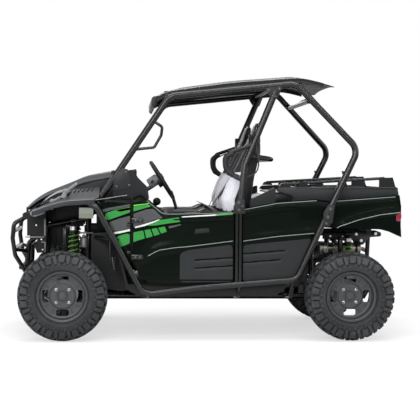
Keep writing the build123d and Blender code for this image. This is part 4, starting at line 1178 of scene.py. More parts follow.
def build_hood():
    """The hood's shell, liner and lugs, and the scuttle and nose panel at its ends."""
    half_plan = [(1.384, 0.2), (1.36, 0.262), (1.29, 0.278), (1.15, 0.292), (1.02, 0.32),
                 (0.92, 0.338), (0.722, 0.343)]
    hood_plan = half_plan + [(x, -y) for x, y in reversed(half_plan)]
    under_plan = [(1.36, -0.25), (1.36, 0.25), (1.3, 0.325), (1.15, 0.338), (0.74, 0.34),
                  (0.74, -0.34), (1.15, -0.338), (1.3, -0.325)]
    finish_piece(skin(rounded(under_plan, 0.03), lambda x, y: hood_surface(x, y) - 0.026, 0.03,
                      SHELL_WALL, out=2),
                 "hood_liner", "hood", "black", angle=50)
    finish_piece(skin(rounded(hood_plan, 0.03), hood_surface, 0.017, SHELL_WALL, out=2),
                 "hood_shell", "hood", "charcoal", bevel=0.0015, angle=50, replaces=("hood",))
    lugs = []
    for side in SIDES:
        for at in (0.188, 0.212):
            lugs.append(brick((1.355, 1.385), (side * at - 0.003, side * at + 0.003),
                              (0.965, 0.986), 0.0015))
        for x in (0.86, 1.2):
            lugs.append(slab([(x, hood_surface(x, 0.3) - 0.004),
                              (x + 0.05, hood_surface(x + 0.05, 0.3) - 0.004),
                              (x + 0.03, hood_surface(x, 0.3) - 0.03)], side * 0.3 - 0.002,
                             side * 0.3 + 0.002))
    finish_piece(joined(lugs), "hood_inner", "hood", "black")
    scuttle = [(0.722, 1.278), (0.668, 1.284), (0.6, 1.262), (0.566, 1.235), (0.6, 1.14),
               (0.722, 1.16)]
    finish_piece(slab(rounded(scuttle, 0.01, 3), -0.34, 0.34, 0.003), "scuttle", "chassis", "black")
    finish_piece(brick((1.325, 1.34), (-0.335, 0.335), (0.92, 0.972), 0.003), "nose_panel",
                 "chassis", "black")


def build_fender(side):
    """One fender with its liner, wall, lip, beads and ribs; the hood's skirt and filler by it."""
    liner = [
        slab([(1.25, 1.05), (1.25, 0.94), (1.2, 0.86), (1.14, 0.835), (0.94, 0.835), (0.935, 0.928),
              (0.84, 0.93), (0.84, 0.84), (0.775, 0.84), (0.775, 1.1), (1.0, 1.1)], 0.176, 0.181,
             0.001),
        slab([(1.2, 0.87), (1.2, 0.68), (1.075, 0.68), (1.075, 0.87)], 0.17, 0.175, 0.001),
        slab([(0.935, 0.845), (0.935, 0.79), (0.79, 0.79), (0.79, 0.845)], 0.17, 0.175, 0.001),
        slab([(1.19, 0.99), (1.17, 0.7), (1.155, 0.7), (1.17, 0.99)], 0.181, 0.196, 0.001),
        slab([(0.83, 1.08), (0.8, 0.86), (0.785, 0.86), (0.81, 1.08)], 0.181, 0.196, 0.001),
        slab([(1.24, 1.0), (1.24, 0.99), (0.8, 1.035), (0.8, 1.047)], 0.181, 0.193, 0.001)]
    sided(joined(liner), side, "fender_liner", "chassis", "black", weld=False)
    filler = slab([(0.77, 1.17), (0.77, 1.06), (0.6, 1.05), (0.6, 1.2)], 0.4, 0.405, 0.001)
    sided(filler, side, "cowl_filler", "chassis", "black")
    edge = [(x, hood_surface(x, 0.343) - 0.003) for x in (0.722, 0.8, 0.9, 1.0, 1.1, 1.2, 1.28)]
    skirt = slab(edge + [(x, z - 0.022) for x, z in reversed(edge)], 0.3365, 0.3425, 0.001)
    sided(skirt, side, "hood_skirt", "hood", "gloss")
    plan = [(1.31, 0.366), (1.316, 0.6), (1.296, 0.69), (1.2, 0.704), (0.842, 0.704), (0.81, 0.66),
            (0.81, 0.366)]
    form = skin(rounded(plan, 0.02), fender_surface, 0.018, SHELL_WALL, out=2)
    sided(form, side, "fender", "chassis", "charcoal", bevel=0.0015, angle=50,
          replaces=("front_fenders",))
    wall_top = [(x, hood_surface(x, 0.34) - 0.012)
                for x in (0.722, 0.85, 1.0, 1.1, 1.2, 1.28, 1.33)]
    wall = wall_top + [(1.345, 0.96), (1.308, 0.955), (1.2, 1.0), (1.05, 1.08), (0.84, 1.1),
                       (0.722, 1.09)]
    form = slab(rounded(wall, 0.01, 2), 0.35, 0.366, 0.002)
    sided(form, side, "fender_wall", "chassis", "black")
    rim = [(x, 0.7035, fender_surface(x, 0.7) - 0.004)
           for x in (0.842, 0.95, 1.06, 1.14, 1.22, 1.28, 1.31)]
    under = [(x, z - 0.036) for x, _, z in rim]
    lip = slab([(x, z + 0.004) for x, _, z in rim] + under[::-1], 0.698, 0.704, 0.0015)
    sided(lip, side, "fender_lip", "chassis", "charcoal")
    bead = pipe(rim, 0.0035, 6, 8)
    tail = [(x, 0.684, z) for x, z in ((0.842, 1.058), (0.76, 1.068), (0.68, 1.083), (0.6, 1.094))]
    bead = joined([bead, pipe(tail, 0.0035, 6, 8)])
    sided(bead, side, "fender_bead", "chassis", "grey")
    ribs = []
    for number in range(7):
        x = 0.86 + number * 0.033
        low, high = fender_surface(x, 0.5), fender_surface(x, 0.42)
        ribs.append(pipe([(x, 0.42, high + 0.003), (x + 0.006, 0.46, (low + high) / 2 + 0.003),
                          (x + 0.012, 0.5, low + 0.003)], 0.0055, 4, 8))
    sided(joined(ribs), side, "fender_ribs", "chassis", "bracket")


def lamp_surface(x, y):
    """The lamp's face, from the hood's edge down the fender's nose."""
    return eased(x, LAMP_TOP, 0.03) - 0.035 * ((abs(y) - 0.365) / 0.2) ** 1.6


def build_lamp(side):
    """One headlight: black housing, bowls with bulbs, a clear lens, and the grey prongs over it."""
    low = [(1.283, 1.0), (1.198, 0.998), (1.098, 1.034), (1.035, 1.062)]
    top = [(x, lamp_surface(x, 0.37) - 0.016) for x in (1.037, 1.08, 1.13, 1.18, 1.23, 1.28)]
    housing = slab(top + low, 0.367, 0.553, 0.004)
    sided(housing, side, "lamp_housing", "chassis", "gloss", replaces=("headlights",))
    plan = rounded([(1.285, 0.375), (1.275, 0.5), (1.24, 0.545), (1.06, 0.545), (1.045, 0.375)],
                   0.02)
    lens = skin(plan, lamp_surface, 0.012, 0.003, -0.001, out=2)
    sided(lens, side, "lamp_lens", "chassis", "lens", angle=60)
    bowls, bulbs = [], []
    for x, y, size in ((1.24, 0.43, 0.03), (1.2, 0.495, 0.026)):
        z = lamp_surface(x, y) - 0.009
        aim = (0.8, 0, 0.6)
        bowls.append(turned([(size, 0.0), (size * 0.96, -0.004), (size * 0.75, -0.016),
                             (size * 0.4, -0.026), (0.004, -0.03), (0.004, -0.033),
                             (size * 0.45, -0.029), (size * 0.8, -0.018), (size * 1.02, -0.004),
                             (size * 1.04, 0.002), (size, 0.0)], aim, (x, y, z), 28))
        bulbs.append(turned([(0, -0.006), (0.004, -0.008), (0.0055, -0.014), (0.0055, -0.028),
                             (0, -0.028)], aim,
                            (x, y, z), 14))
    sided(joined(bowls), side, "lamp_bowls", "chassis", "mirror")
    sided(joined(bulbs), side, "lamp_bulbs", "chassis", "nut")
    prongs = []
    for x, z, back, rise, size in ((1.062, 1.117, -0.059, 0.052, 0.028),
                                   (1.16, 1.04, -0.075, 0.05, 0.026)):
        y = 0.575
        arm = pipe([(x, y, z), (x + back * 0.45, y - 0.01, z + rise * 0.35),
                    (x + back, y - 0.03, z + rise * 0.8),
                    (x + back * 1.25, y - 0.1, z + rise * 1.05)], 0.0125, 6, 12)
        head = bmesh.new()
        bmesh.ops.create_icosphere(head, subdivisions=3, radius=1,
                                   matrix=Matrix.Translation((x, y, z))
                                   @ Matrix.Diagonal((size, 0.018, size * 0.8, 1)))
        root = cone((x + 0.004, y, z - size * 0.3), (0.35, 0.3, -1), size * 0.62, size * 0.8, 0.05,
                    16)
        prongs += [arm, head, root]
    corner = skin(rounded([(1.352, 0.37), (1.33, 0.56), (1.29, 0.62), (1.215, 0.62), (1.235, 0.5),
                           (1.29, 0.37)], 0.02),
                  lambda a, b: 1.0 - (a - 1.215) * 0.36 - max(0.0, b - 0.5) * 0.3, 0.014, 0.012,
                  out=2)
    prongs.append(corner)
    sided(joined(prongs), side, "lamp_prongs", "chassis", "grey", angle=45, weld=False)


build_hood()
for fender_side in SIDES:
    build_fender(fender_side)
    build_lamp(fender_side)


# --------------------------------------------------------------- roof and cage
ROOF_LINE = ((0.404, 1.834), (0.378, 1.887), (0.298, 1.919), (-0.202, 1.992), (-0.73, 2.036),
             (-0.9, 1.998), (-1.004, 1.966))


def roof_surface(x, y):
    """Height of the roof: crowned, with long ribs and a lip round its edge."""
    top = eased(x, ROOF_LINE, 0.06)
    rib = 0.009 * (swell(abs(y), 0.14, 0.03, 0.03)
                   + swell(abs(y), 0.34, 0.04, 0.04)) * ramp(x, 0.28, 0.16)
    rib *= ramp(x, -0.8, -0.66)
    return top - 0.03 * (abs(y) / 0.565) ** 3 + rib - 0.009


def build_roof():
    """The roof's shell with its skirts, gutters, visor and ribs."""
    plan = rounded([(0.4, -0.53), (0.4, 0.53), (0.3, 0.565), (-0.9, 0.565), (-1.0, 0.5),
                    (-1.0, -0.5), (-0.9, -0.565), (0.3, -0.565)], 0.04)
    finish_piece(skin(plan, roof_surface, 0.024, SHELL_WALL, out=2), "roof_shell", "chassis",
                 "black", bevel=0.0015, angle=50, replaces=("roof_panel",))
    skirts = []
    for side in SIDES:
        edge = [(0.38 - 0.04 * step, roof_surface(0.38 - 0.04 * step, 0.56) + 0.002)
                for step in range(33)]
        skirt = slab(edge + [(x, z - 0.03) for x, z in reversed(edge)], 0.56, 0.567)
        skirts.append(flipped(skirt, side))
        lip = pipe([(x, side * 0.5685, z - 0.03) for x, z in edge], 0.0055, 6, 10)
        finish_piece(lip, f"roof_gutter_{SIDE_NAME[side]}", "chassis", "bracket")
        for x, z, top in ((0.298, 1.866, 1.893), (-0.502, 1.938, 1.975)):
            skirts.append(brick((x - 0.02, x + 0.02), (side * 0.43 - 0.03, side * 0.43 + 0.03),
                                (z, top), 0.003))
    finish_piece(joined(skirts), "roof_skirts", "chassis", "black")
    tip = [(0.365, 1.852), (0.403, 1.846), (0.417, 1.835), (0.417, 1.775), (0.405, 1.762),
           (0.391, 1.76), (0.378, 1.8)]
    finish_piece(slab(rounded(tip, 0.01, 3), -0.53, 0.53, 0.002), "roof_visor", "chassis",
                 "bracket")
    under = []
    for x in (0.2, 0.02, -0.16, -0.34, -0.66):
        z = roof_surface(x, 0.3) - 0.012
        under.append(brick((x - 0.014, x + 0.014), (-0.41, 0.41), (z - 0.022, z - 0.004), 0.003))
    for y in (-0.47, -0.25, 0.25, 0.47):
        for number in range(5):
            a, b = 0.25 - number * 0.2, 0.05 - number * 0.2
            low, high = roof_surface(a, y) - 0.012, roof_surface(b, y) - 0.012
            under.append(slab([(a, low), (a, low - 0.03), (b, high - 0.03), (b, high)], y - 0.005,
                              y + 0.005))
    finish_piece(joined(under), "roof_ribs", "chassis", "charcoal", weld=False)


def build_cage_side(side):
    """Gussets, bolts and tube clamps on one side of the cage."""
    label = SIDE_NAME[side]
    plates = [
        slab([(-0.441, 1.914), (-0.577, 1.933), (-0.541, 1.843), (-0.496, 1.826), (-0.468, 1.866)],
             0.623, 0.628, 0.001),
        slab([(0.7036, 1.224), (0.643, 1.3), (0.597, 1.289), (0.5645, 1.15), (0.7036, 1.121)], 0.6,
             0.605, 0.001),
        slab([(-0.235, 1.068), (-0.282, 1.068), (-0.29, 0.962), (-0.196, 0.962), (-0.2, 1.02)],
             0.712, 0.718, 0.001),
        slab([(-0.886, 0.975), (-0.925, 1.035), (-0.972, 1.03), (-0.955, 0.9), (-0.92, 0.86),
              (-0.885, 0.9)], 0.708, 0.714, 0.001),
        slab([(-1.073, 1.235), (-1.052, 1.288), (-1.03, 1.29), (-1.04, 1.24)], 0.652, 0.657,
             0.0008),
    ]
    for plate in plates:
        flipped(plate, side)
    finish_piece(joined(plates), f"gussets_{label}", "chassis", "bracket", weld=False)
    spots = [(x, y, z, s) for x, z, y, s in (
        (-0.468, 1.897, 0.628, 0.007), (-0.55, 1.91, 0.628, 0.007), (-0.518, 1.853, 0.628, 0.007),
        (-0.24, 1.045, 0.718, 0.008), (-0.24, 0.99, 0.718, 0.008), (-0.268, 1.018, 0.718, 0.006),
        (-0.938, 1.0, 0.714, 0.0095), (-0.918, 0.94, 0.714, 0.0095), (-0.906, 0.89, 0.714, 0.0075),
        (0.61, 1.27, 0.605, 0.006), (0.585, 1.17, 0.605, 0.006), (0.68, 1.16, 0.605, 0.006))]
    bolts(f"cage_bolts_{label}", "chassis", [((x, side * y, z), (0, side, 0), s)
                                             for x, y, z, s in spots])
    clamps = []
    for x, y, z in ((0.298, 0.585, 1.847), (-0.502, 0.585, 1.919), (-0.796, 0.6, 1.83)):
        for turn in (-1, 1):
            clamps.append(cone((x, side * (y - 0.05), z), (0, side, 0), 0.0275, 0.0275, 0.012, 24))
            clamps.append(cone((x + turn * 0.022, side * (y - 0.062), z), (0, side, 0), 0.006,
                               0.006, 0.035, 6))
    finish_piece(joined(clamps), f"cage_clamps_{label}", "chassis", "frame", weld=False)


build_roof()
for cage_side in SIDES:
    build_cage_side(cage_side)


# --------------------------------------------------------------- springs, boots and brakes
def coil(start, end, radius, wire, turns):
    """A spring between two points, as a bmesh."""
    axis = Vector(end) - Vector(start)
    frame_at = facing(axis, start)
    points = []
    steps = int(turns * 10)
    for step in range(steps + 1):
        turn = 2 * pi * turns * step / steps
        points.append(frame_at @ Vector((radius * cos(turn), radius * sin(turn),
                                         axis.length * step / steps)))
    return pipe([tuple(point) for point in points], wire, 2, 8)


def build_shock(label, high, low):
    """One shock from its upper eye to its lower: body, rod, jar, collars, eyes and spring."""
    run = low - high
    long = run.length
    body = turned([(0, long * 0.03), (0.02, long * 0.03), (0.026, long * 0.05),
                   (0.0275, long * 0.06), (0.0275, long * 0.14), (0.031, long * 0.145),
                   (0.031, long * 0.16), (0.02, long * 0.165), (0.02, long * 0.52),
                   (0, long * 0.52)], run, tuple(high), 32)
    finish_piece(body, f"shock_body_{label}", "chassis", "black", angle=30, replaces=("shocks",))
    rod = turned([(0, long * 0.5), (0.0085, long * 0.5), (0.0085, long * 0.9), (0.034, long * 0.9),
                  (0.037, long * 0.905), (0.037, long * 0.925), (0.02, long * 0.94),
                  (0.013, long * 0.97), (0, long * 0.97)], run, tuple(high), 28)
    sleeve = turned([(0.0278, long * 0.07), (0.0292, long * 0.072), (0.0292, long * 0.12),
                     (0.0278, long * 0.122)], run, tuple(high), 32)
    jar = cone(tuple(high + run * 0.08 + Vector((0.062, 0, 0))), run, 0.021, 0.021, long * 0.24, 24)
    ease(jar, 0.003)
    bridge = brick((high.x, high.x + 0.062), (high.y - 0.012, high.y + 0.012),
                   (high.z - long * 0.1, high.z - long * 0.05), 0.004)
    finish_piece(joined([rod, sleeve]), f"shock_rod_{label}", "chassis", "disc", angle=30)
    finish_piece(joined([jar, bridge]), f"shock_jar_{label}", "chassis", "frame", angle=30)
    rings = [turned([(0.0285, long * t), (0.0385, long * t + 0.001), (0.0385, long * t + 0.008),
                     (0.0285, long * t + 0.009)], run, tuple(high), 28) for t in (0.135, 0.157)]
    eyes = [cone((x - 0.018, y, z), (1, 0, 0), 0.0185, 0.0185, 0.036, 24)
            for x, y, z in (tuple(high), tuple(low))]
    stems = [cone(tuple(high), run, 0.012, 0.02, long * 0.05, 16)]
    finish_piece(joined(rings + eyes + stems), f"shock_eyes_{label}", "chassis", "frame",
                 bevel=0.001)
    finish_piece(coil(tuple(high + run * 0.18), tuple(high + run * 0.9), 0.0345, 0.0062, 11),
                 f"shock_spring_{label}", "chassis", "spring", angle=60)


def build_boots(end, side, axle, joint_y):
    """The folded boots at both ends of one half shaft."""
    boots = []
    clear = 0.055 if end == "front" else 0.02  # the front boot stays off the turning knuckle
    for start, finish_y in ((joint_y - clear - 0.085, joint_y - clear), (0.205, 0.125)):
        span = finish_y - start
        profile = [(0.016, 0.0)]
        for fold in range(5):
            size = 0.021 + 0.005 * fold
            profile += [(size + 0.006, abs(span) * (fold + 0.3) / 5),
                        (size, abs(span) * (fold + 0.8) / 5)]
        profile += [(0.046, abs(span) * 0.98), (0.046, abs(span) * 1.1), (0.017, abs(span) * 1.1)]
        way = (0, side * (1 if span > 0 else -1), 0)
        boots.append(turned(profile, way, (axle, side * start, AXLE_Z), 28))
    finish_piece(joined(boots), f"axle_boots_{end}_{SIDE_NAME[side]}", "chassis", "boot", angle=60)


def build_brake(end, side, axle, hub):
    """One wheel's caliper and disc."""
    carrier = f"knuckle_{SIDE_NAME[side]}" if end == "front" else "chassis"
    caliper = joined([brick((axle + 0.062, axle + 0.118),
                            (side * (hub - 0.05), side * (hub + 0.004)),
                            (AXLE_Z - 0.005, AXLE_Z + 0.1), 0.008),
                      brick((axle + 0.02, axle + 0.075),
                            (side * (hub - 0.045), side * (hub - 0.02)),
                            (AXLE_Z + 0.0, AXLE_Z + 0.06), 0.004)])
    finish_piece(caliper, f"caliper_{end}_{SIDE_NAME[side]}", carrier, "cast")
    plate = turned([(0.03, 0), (0.112, 0), (0.112, 0.005), (0.03, 0.005), (0.03, 0)], (0, side, 0),
                   (axle, side * (hub + 0.012), AXLE_Z), 48)
    finish_piece(plate, f"brake_disc_{end}_{SIDE_NAME[side]}", f"wheel_{end}_{SIDE_NAME[side]}",
                 "disc")


CORNERS = (
    # end, axle x, top of the shock, foot, ball joint y, hub face
    ("front", FRONT_AXLE, (FRONT_AXLE - 0.063, 0.33, 0.88), (FRONT_AXLE - 0.055, 0.392, 0.3003),
     0.505, 0.546),
    ("rear", REAR_AXLE, (REAR_AXLE - 0.047, 0.315, 0.79), (REAR_AXLE - 0.055, 0.332, 0.3003), 0.445,
     0.481),
)


def build_suspension():
    """Shocks, half shaft boots and brakes at the four corners."""
    for end, axle, top, foot, joint_y, hub in CORNERS:
        for side in SIDES:
            high = Vector((top[0], side * top[1], top[2]))
            low = Vector((foot[0], side * foot[1], foot[2]))
            build_shock(f"{end}_{SIDE_NAME[side]}", high, low)
            build_boots(end, side, axle, joint_y)
            build_brake(end, side, axle, hub)


build_suspension()


# --------------------------------------------------------------- bed, tail and exhaust
def build_bed_side(side):
    """One side of the bed with its rail and the tie inside it."""
    label = SIDE_NAME[side]
    panel = [(-0.536, 1.131), (-0.56, 1.158), (-0.672, 1.163), (-1.05, 1.166), (-1.478, 1.17),
             (-1.492, 1.112), (-1.482, 1.085), (-1.04, 1.05), (-0.9, 1.05), (-0.7, 1.05),
             (-0.66, 1.1)]
    form = slab(rounded(panel, 0.012, 3), 0.576, 0.584, 0.002)
    sided(form, side, "bed_side", "cargo_bed", "charcoal")
    bars = [brick((-1.47, -0.69), (side * 0.584, side * 0.5875), (1.152, 1.159), 0.0012),
            pipe([(-0.6, side * 0.56, 1.186), (-0.75, side * 0.56, 1.1955),
                  (-1.0, side * 0.56, 1.2115), (-1.38, side * 0.56, 1.236)], 0.0115, 4, 14)]
    for x, z in ((-0.605, 1.19), (-1.05, 1.214), (-1.42, 1.24)):
        foot = [(x - 0.05, 1.163), (x + 0.042, 1.163), (x + 0.026, z), (x - 0.026, z + 0.003)]
        bars.append(slab(rounded(foot, 0.006, 2), side * 0.56 - 0.011, side * 0.56 + 0.011))
    finish_piece(joined(bars), f"bed_rail_{label}", "cargo_bed", "frame", bevel=0.001, weld=False)
    lower = joined([pipe([(-0.7, side * 0.53, 1.158), (-1.05, side * 0.53, 1.165)], 0.006, 2, 8),
                    brick((-0.76, -0.7), (side * 0.5, side * 0.54), (1.16, 1.19), 0.004)])
    finish_piece(lower, f"bed_tie_{label}", "cargo_bed", "bracket")


def build_rear_side(side):
    """Tail lamp, sill guard, shelf end, and the frame rail's box and hanger on one side."""
    label = SIDE_NAME[side]
    lens = [(-1.457, 0.986), (-1.494, 0.99), (-1.499, 0.945), (-1.492, 0.906), (-1.458, 0.91)]
    sided(slab(rounded(lens, 0.006, 3), 0.596, 0.652, 0.003), side, "tail_lamp", "chassis", "red")
    bezel = joined([brick((-1.492, -1.45), (0.592, 0.597), (0.9, 0.995), 0.002),
                    brick((-1.492, -1.45), (0.592, 0.648), (0.989, 0.997), 0.002),
                    brick((-1.492, -1.45), (0.592, 0.648), (0.897, 0.905), 0.002)])
    sided(bezel, side, "tail_bezel", "chassis", "black")
    sill = [(0.485, 0.4), (0.485, 0.316), (-0.188, 0.327), (-0.341, 0.327), (-0.426, 0.355),
            (-0.607, 0.359), (-0.607, 0.42)]
    sided(slab(sill, 0.6, 0.606, 0.001), side, "sill_guard", "chassis", "black")
    wedge = [(-0.33, 1.0), (-0.33, 1.064), (-0.454, 1.124), (-0.508, 1.156), (-0.526, 1.157),
             (-0.526, 1.0)]
    sided(slab(rounded(wedge, 0.008, 2), 0.585, 0.655, 0.003), side, "shelf_side", "chassis",
          "black")
    box = [(-0.959, 0.746), (-0.959, 0.79), (-1.203, 0.795), (-1.203, 0.746)]
    hanger = [(-1.2, 0.812), (-1.38, 0.818), (-1.432, 0.8), (-1.43, 0.768), (-1.34, 0.762),
              (-1.285, 0.7), (-1.215, 0.7), (-1.19, 0.76)]
    sided(slab(box, 0.236, 0.252, 0.002), side, "rail_box", "chassis", "bracket")
    sided(slab(rounded(hanger, 0.014, 3), 0.243, 0.25, 0.001), side, "rail_hanger", "chassis",
          "frame")
    bolts(f"rail_bolts_{label}", "chassis", [
        ((-1.27, side * 0.25, 0.735), (0, side, 0), 0.009),
        ((-1.385, side * 0.25, 0.79), (0, side, 0), 0.009),
        ((-1.23, side * 0.25, 0.785), (0, side, 0), 0.008),
        ((-1.02, side * 0.252, 0.768), (0, side, 0), 0.006),
        ((-1.12, side * 0.252, 0.768), (0, side, 0), 0.006)], "nut")


def build_bed_middle():
    """The bed's flange and ribs, the gate's ribs and latch, and the shelf behind the seats."""
    flange = slab(rounded([(-0.54, 1.108), (-0.545, 1.122), (-0.674, 1.128), (-0.674, 1.114)],
                          0.004, 2), -0.56, 0.56)
    finish_piece(flange, "bed_flange", "cargo_bed", "black", bevel=0.0015)
    cover = [(-0.398, 1.026), (-0.4, 1.042), (-0.47, 1.085), (-0.52, 1.098), (-0.525, 1.084),
             (-0.475, 1.068), (-0.42, 1.032), (-0.415, 1.026)]
    finish_piece(slab(rounded(cover, 0.01, 2), -0.56, 0.56), "seat_shelf", "chassis", "black",
                 bevel=0.002)
    ribs = []
    for number in range(9):
        y = -0.48 + number * 0.12
        ribs.append(brick((-1.445, -0.71), (y - 0.012, y + 0.012), (0.9045, 0.9095), 0.0015))
        ribs.append(brick((-0.7045, -0.7), (y - 0.02, y + 0.02), (0.93, 1.14), 0.0015))
    finish_piece(joined(ribs), "bed_ribs", "cargo_bed", "charcoal")
    gate = [brick((-1.4895, -1.486), (-0.42, 0.42), (0.945, 0.955), 0.001),
            brick((-1.4895, -1.486), (-0.42, 0.42), (1.105, 1.115), 0.001)]
    for y in (-0.35, -0.175, 0, 0.175, 0.35):
        gate.append(brick((-1.4895, -1.486), (y - 0.005, y + 0.005), (0.955, 1.105), 0.001))
    finish_piece(joined(gate), "gate_ribs", "tailgate", "gloss")
    latch = joined([brick((-1.496, -1.486), (-0.06, 0.06), (1.122, 1.156), 0.003),
                    pipe([(-1.496, -0.04, 1.135), (-1.4985, -0.02, 1.13), (-1.4985, 0.02, 1.13),
                          (-1.496, 0.04, 1.135)], 0.0035, 5, 8)])
    finish_piece(latch, "gate_latch", "tailgate", "black")


def build_silencer():
    """The silencer's straps, its inlet bellows and its tail pipe."""
    y, z = 0.15, 0.668
    bands = [turned([(0.0445, 0), (0.0465, 0.001), (0.0465, 0.017), (0.0445, 0.018)], (-1, 0, 0),
                    (x, y, z), 32)
             for x in (-1.1, -1.235)]
    bands.append(brick((-1.118, -1.1), (0.15, 0.24), (0.708, 0.716), 0.001))
    finish_piece(joined(bands), "muffler_straps", "chassis", "frame")
    drum = turned([(0.02, 0.0), (0.036, 0.004), (0.046, 0.012), (0.047, 0.02), (0.042, 0.026),
                   (0.042, 0.036), (0.047, 0.042), (0.047, 0.054), (0.041, 0.06), (0.041, 0.07),
                   (0.034, 0.08), (0.02, 0.086)],
                  (-1, 0, 0), (-0.935, 0.148, 0.668), 40)
    finish_piece(drum, "muffler_drum", "chassis", "disc")
    pipe_end = turned([(0.012, 0), (0.0155, 0), (0.0155, 0.05), (0.012, 0.05), (0.012, 0)],
                      (-0.9, 0, -0.38), (-1.298, 0.15, 0.664), 24)
    finish_piece(pipe_end, "muffler_tip", "chassis", "exhaust")


for rear_side in SIDES:
    build_bed_side(rear_side)
    build_rear_side(rear_side)
build_bed_middle()
build_silencer()


# --------------------------------------------------------------- doors and small fittings
def build_door(side):
    """One door's handle, hinges, inner trim and pull."""
    label = SIDE_NAME[side]
    door = f"door_{label}"
    plate = rounded([(0.154, 0.743), (0.097, 0.878), (-0.14, 0.89), (-0.14, 0.766)], 0.012, 3)
    form = skin(plate, lambda x, z: 0.6695 - 0.014 * swell(x, 0.03, 0.05, 0.05)
                * swell(z, 0.82, 0.028, 0.028), 0.01, 0.004)
    sided(form, side, "handle_plate", "door", "lower", bevel=0.001, angle=50)
    paddle = rounded([(0.093, 0.79), (0.085, 0.842), (-0.02, 0.85), (-0.029, 0.8)], 0.012, 3)
    form = slab(paddle, 0.6665, 0.676, 0.003)
    sided(form, side, "handle_paddle", "door", "black")
    straps = []
    for z in (0.905, 0.63):
        strap = rounded([(0.566, z + 0.019), (0.566, z - 0.019), (0.482, z - 0.016), (0.474, z),
                         (0.482, z + 0.016)], 0.005, 2)
        straps.append(slab(strap, 0.683, 0.689, 0.0015))
    sided(joined(straps), side, "hinge_straps", "door", "frame")
    spots = [((x, side * 0.689, z), (0, side, 0), 0.006) for z in (0.905, 0.63)
             for x in (0.535, 0.5)]
    bolts(f"hinge_bolts_{label}", door, spots)
    blocks = [brick((0.571, 0.6), (0.656, 0.692), (z, z + 0.02), 0.003) for z in (0.86, 0.655)]
    sided(joined(blocks), side, "hinge_blocks", "chassis", "frame")
    trim = slab(rounded([(0.49, 1.05), (0.34, 0.94), (-0.18, 0.955), (-0.18, 0.48), (0.3, 0.47),
                         (0.49, 0.62)], 0.03, 3), 0.6125, 0.6188, 0.0015)
    sided(trim, side, "door_trim", "door", "black")
    pull = pipe([(0.12, 0.611, 0.86), (0.1, 0.6, 0.862), (0.0, 0.598, 0.868),
                 (-0.02, 0.611, 0.868)], 0.008, 6, 10)
    sided(pull, side, "door_pull", "door", "belt")


def build_side_plates(side):
    """Door seal, splash guard and the nose's bright brackets on one side."""
    label = SIDE_NAME[side]
    seal = slab([(0.596, 1.07), (0.536, 1.07), (0.536, 0.59), (0.596, 0.59)], 0.6102, 0.6112)
    sided(seal, side, "door_seal", "chassis", "black")
    guard = [(0.878, 0.79), (0.7, 0.8), (0.66, 0.74), (0.56, 0.52), (0.53, 0.36), (0.64, 0.335),
             (0.78, 0.36), (0.872, 0.42)]
    form = slab(rounded(guard, 0.03, 3), 0.342, 0.347, 0.001)
    sided(form, side, "splash_guard", "chassis", "black")
    nose = [brick((1.227, 1.24), (0.3455, 0.351), (0.766, 0.9), 0.001),
            brick((1.24, 1.384), (0.3455, 0.351), (0.753, 0.762), 0.001),
            brick((1.228, 1.262), (0.3455, 0.351), (0.715, 0.722), 0.001),
            brick((1.228, 1.236), (0.3455, 0.351), (0.64, 0.72), 0.001)]
    sided(joined(nose), side, "nose_brackets", "chassis", "cast")
    screws = [((x, side * 0.351, z), (0, side, 0), 0.005)
              for x, z in ((1.3, 0.85), (1.26, 0.74), (1.25, 0.66))]
    bolts(f"nose_screws_{label}", "chassis", screws, "nut")


def build_canister():
    """The small canister on its bracket ahead of the firewall."""
    canister = turned([(0, 0), (0.026, 0), (0.032, 0.006), (0.032, 0.07), (0.028, 0.078),
                       (0.014, 0.084), (0.014, 0.098), (0, 0.098)], (0, 0, 1), (0.933, 0.3, 0.675),
                      32)
    shelf = joined([canister, brick((0.858, 0.975), (0.25, 0.325), (0.785, 0.793), 0.0015),
                    brick((0.93, 0.938), (0.28, 0.3), (0.76, 0.79), 0.001),
                    brick((0.895, 0.9), (0.26, 0.29), (0.69, 0.79), 0.001)])
    finish_piece(shelf, "canister", "chassis", "cast", bevel=0.0008)


for door_side in SIDES:
    build_door(door_side)
    build_side_plates(door_side)
build_canister()


# --------------------------------------------------------------- seats, belts and shoulder guards
SEAT_Y = 0.34
BACK_FRONT = ((0.845, -0.125), (1.059, -0.112), (1.224, -0.174), (1.4, -0.264), (1.54, -0.343),
              (1.66, -0.388))
BACK_REAR = ((0.845, -0.36), (1.0, -0.365), (1.24, -0.395), (1.42, -0.44), (1.66, -0.445))
BACK_HALF = ((0.845, 0.205), (0.96, 0.228), (1.3, 0.238), (1.43, 0.234), (1.51, 0.185),
             (1.57, 0.142), (1.66, 0.122))
CUSHION_TOP = ((0.36, 0.93), (0.325, 0.972), (0.05, 0.973), (-0.02, 1.006), (-0.075, 1.002),
               (-0.105, 0.965))
SEAM_HALF = 0.007
WEB_WIDE, WEB_THICK = 0.048, 0.0026
RING_POINTS = 56
PAD_VOXEL = 0.006
PAD_FRAMES = 20
PAD_PRESSURE = 4
PAD_CAP = 0.014  # the furthest that the pressure may move a point


def power(value, share):
    """A signed power, for squared-off round sections."""
    return (1 if value >= 0 else -1) * abs(value) ** share


def lofted(rings):
    """A closed form through rings of points that all have the same count."""
    form = bmesh.new()
    rows = [[form.verts.new(point) for point in ring] for ring in rings]
    count = len(rows[0])
    for low, high in zip(rows, rows[1:]):
        for number in range(count):
            after = (number + 1) % count
            form.faces.new((low[number], low[after], high[after], high[number]))
    form.faces.new(rows[0][::-1])
    form.faces.new(rows[-1])
    bmesh.ops.recalc_face_normals(form, faces=form.faces)
    return form


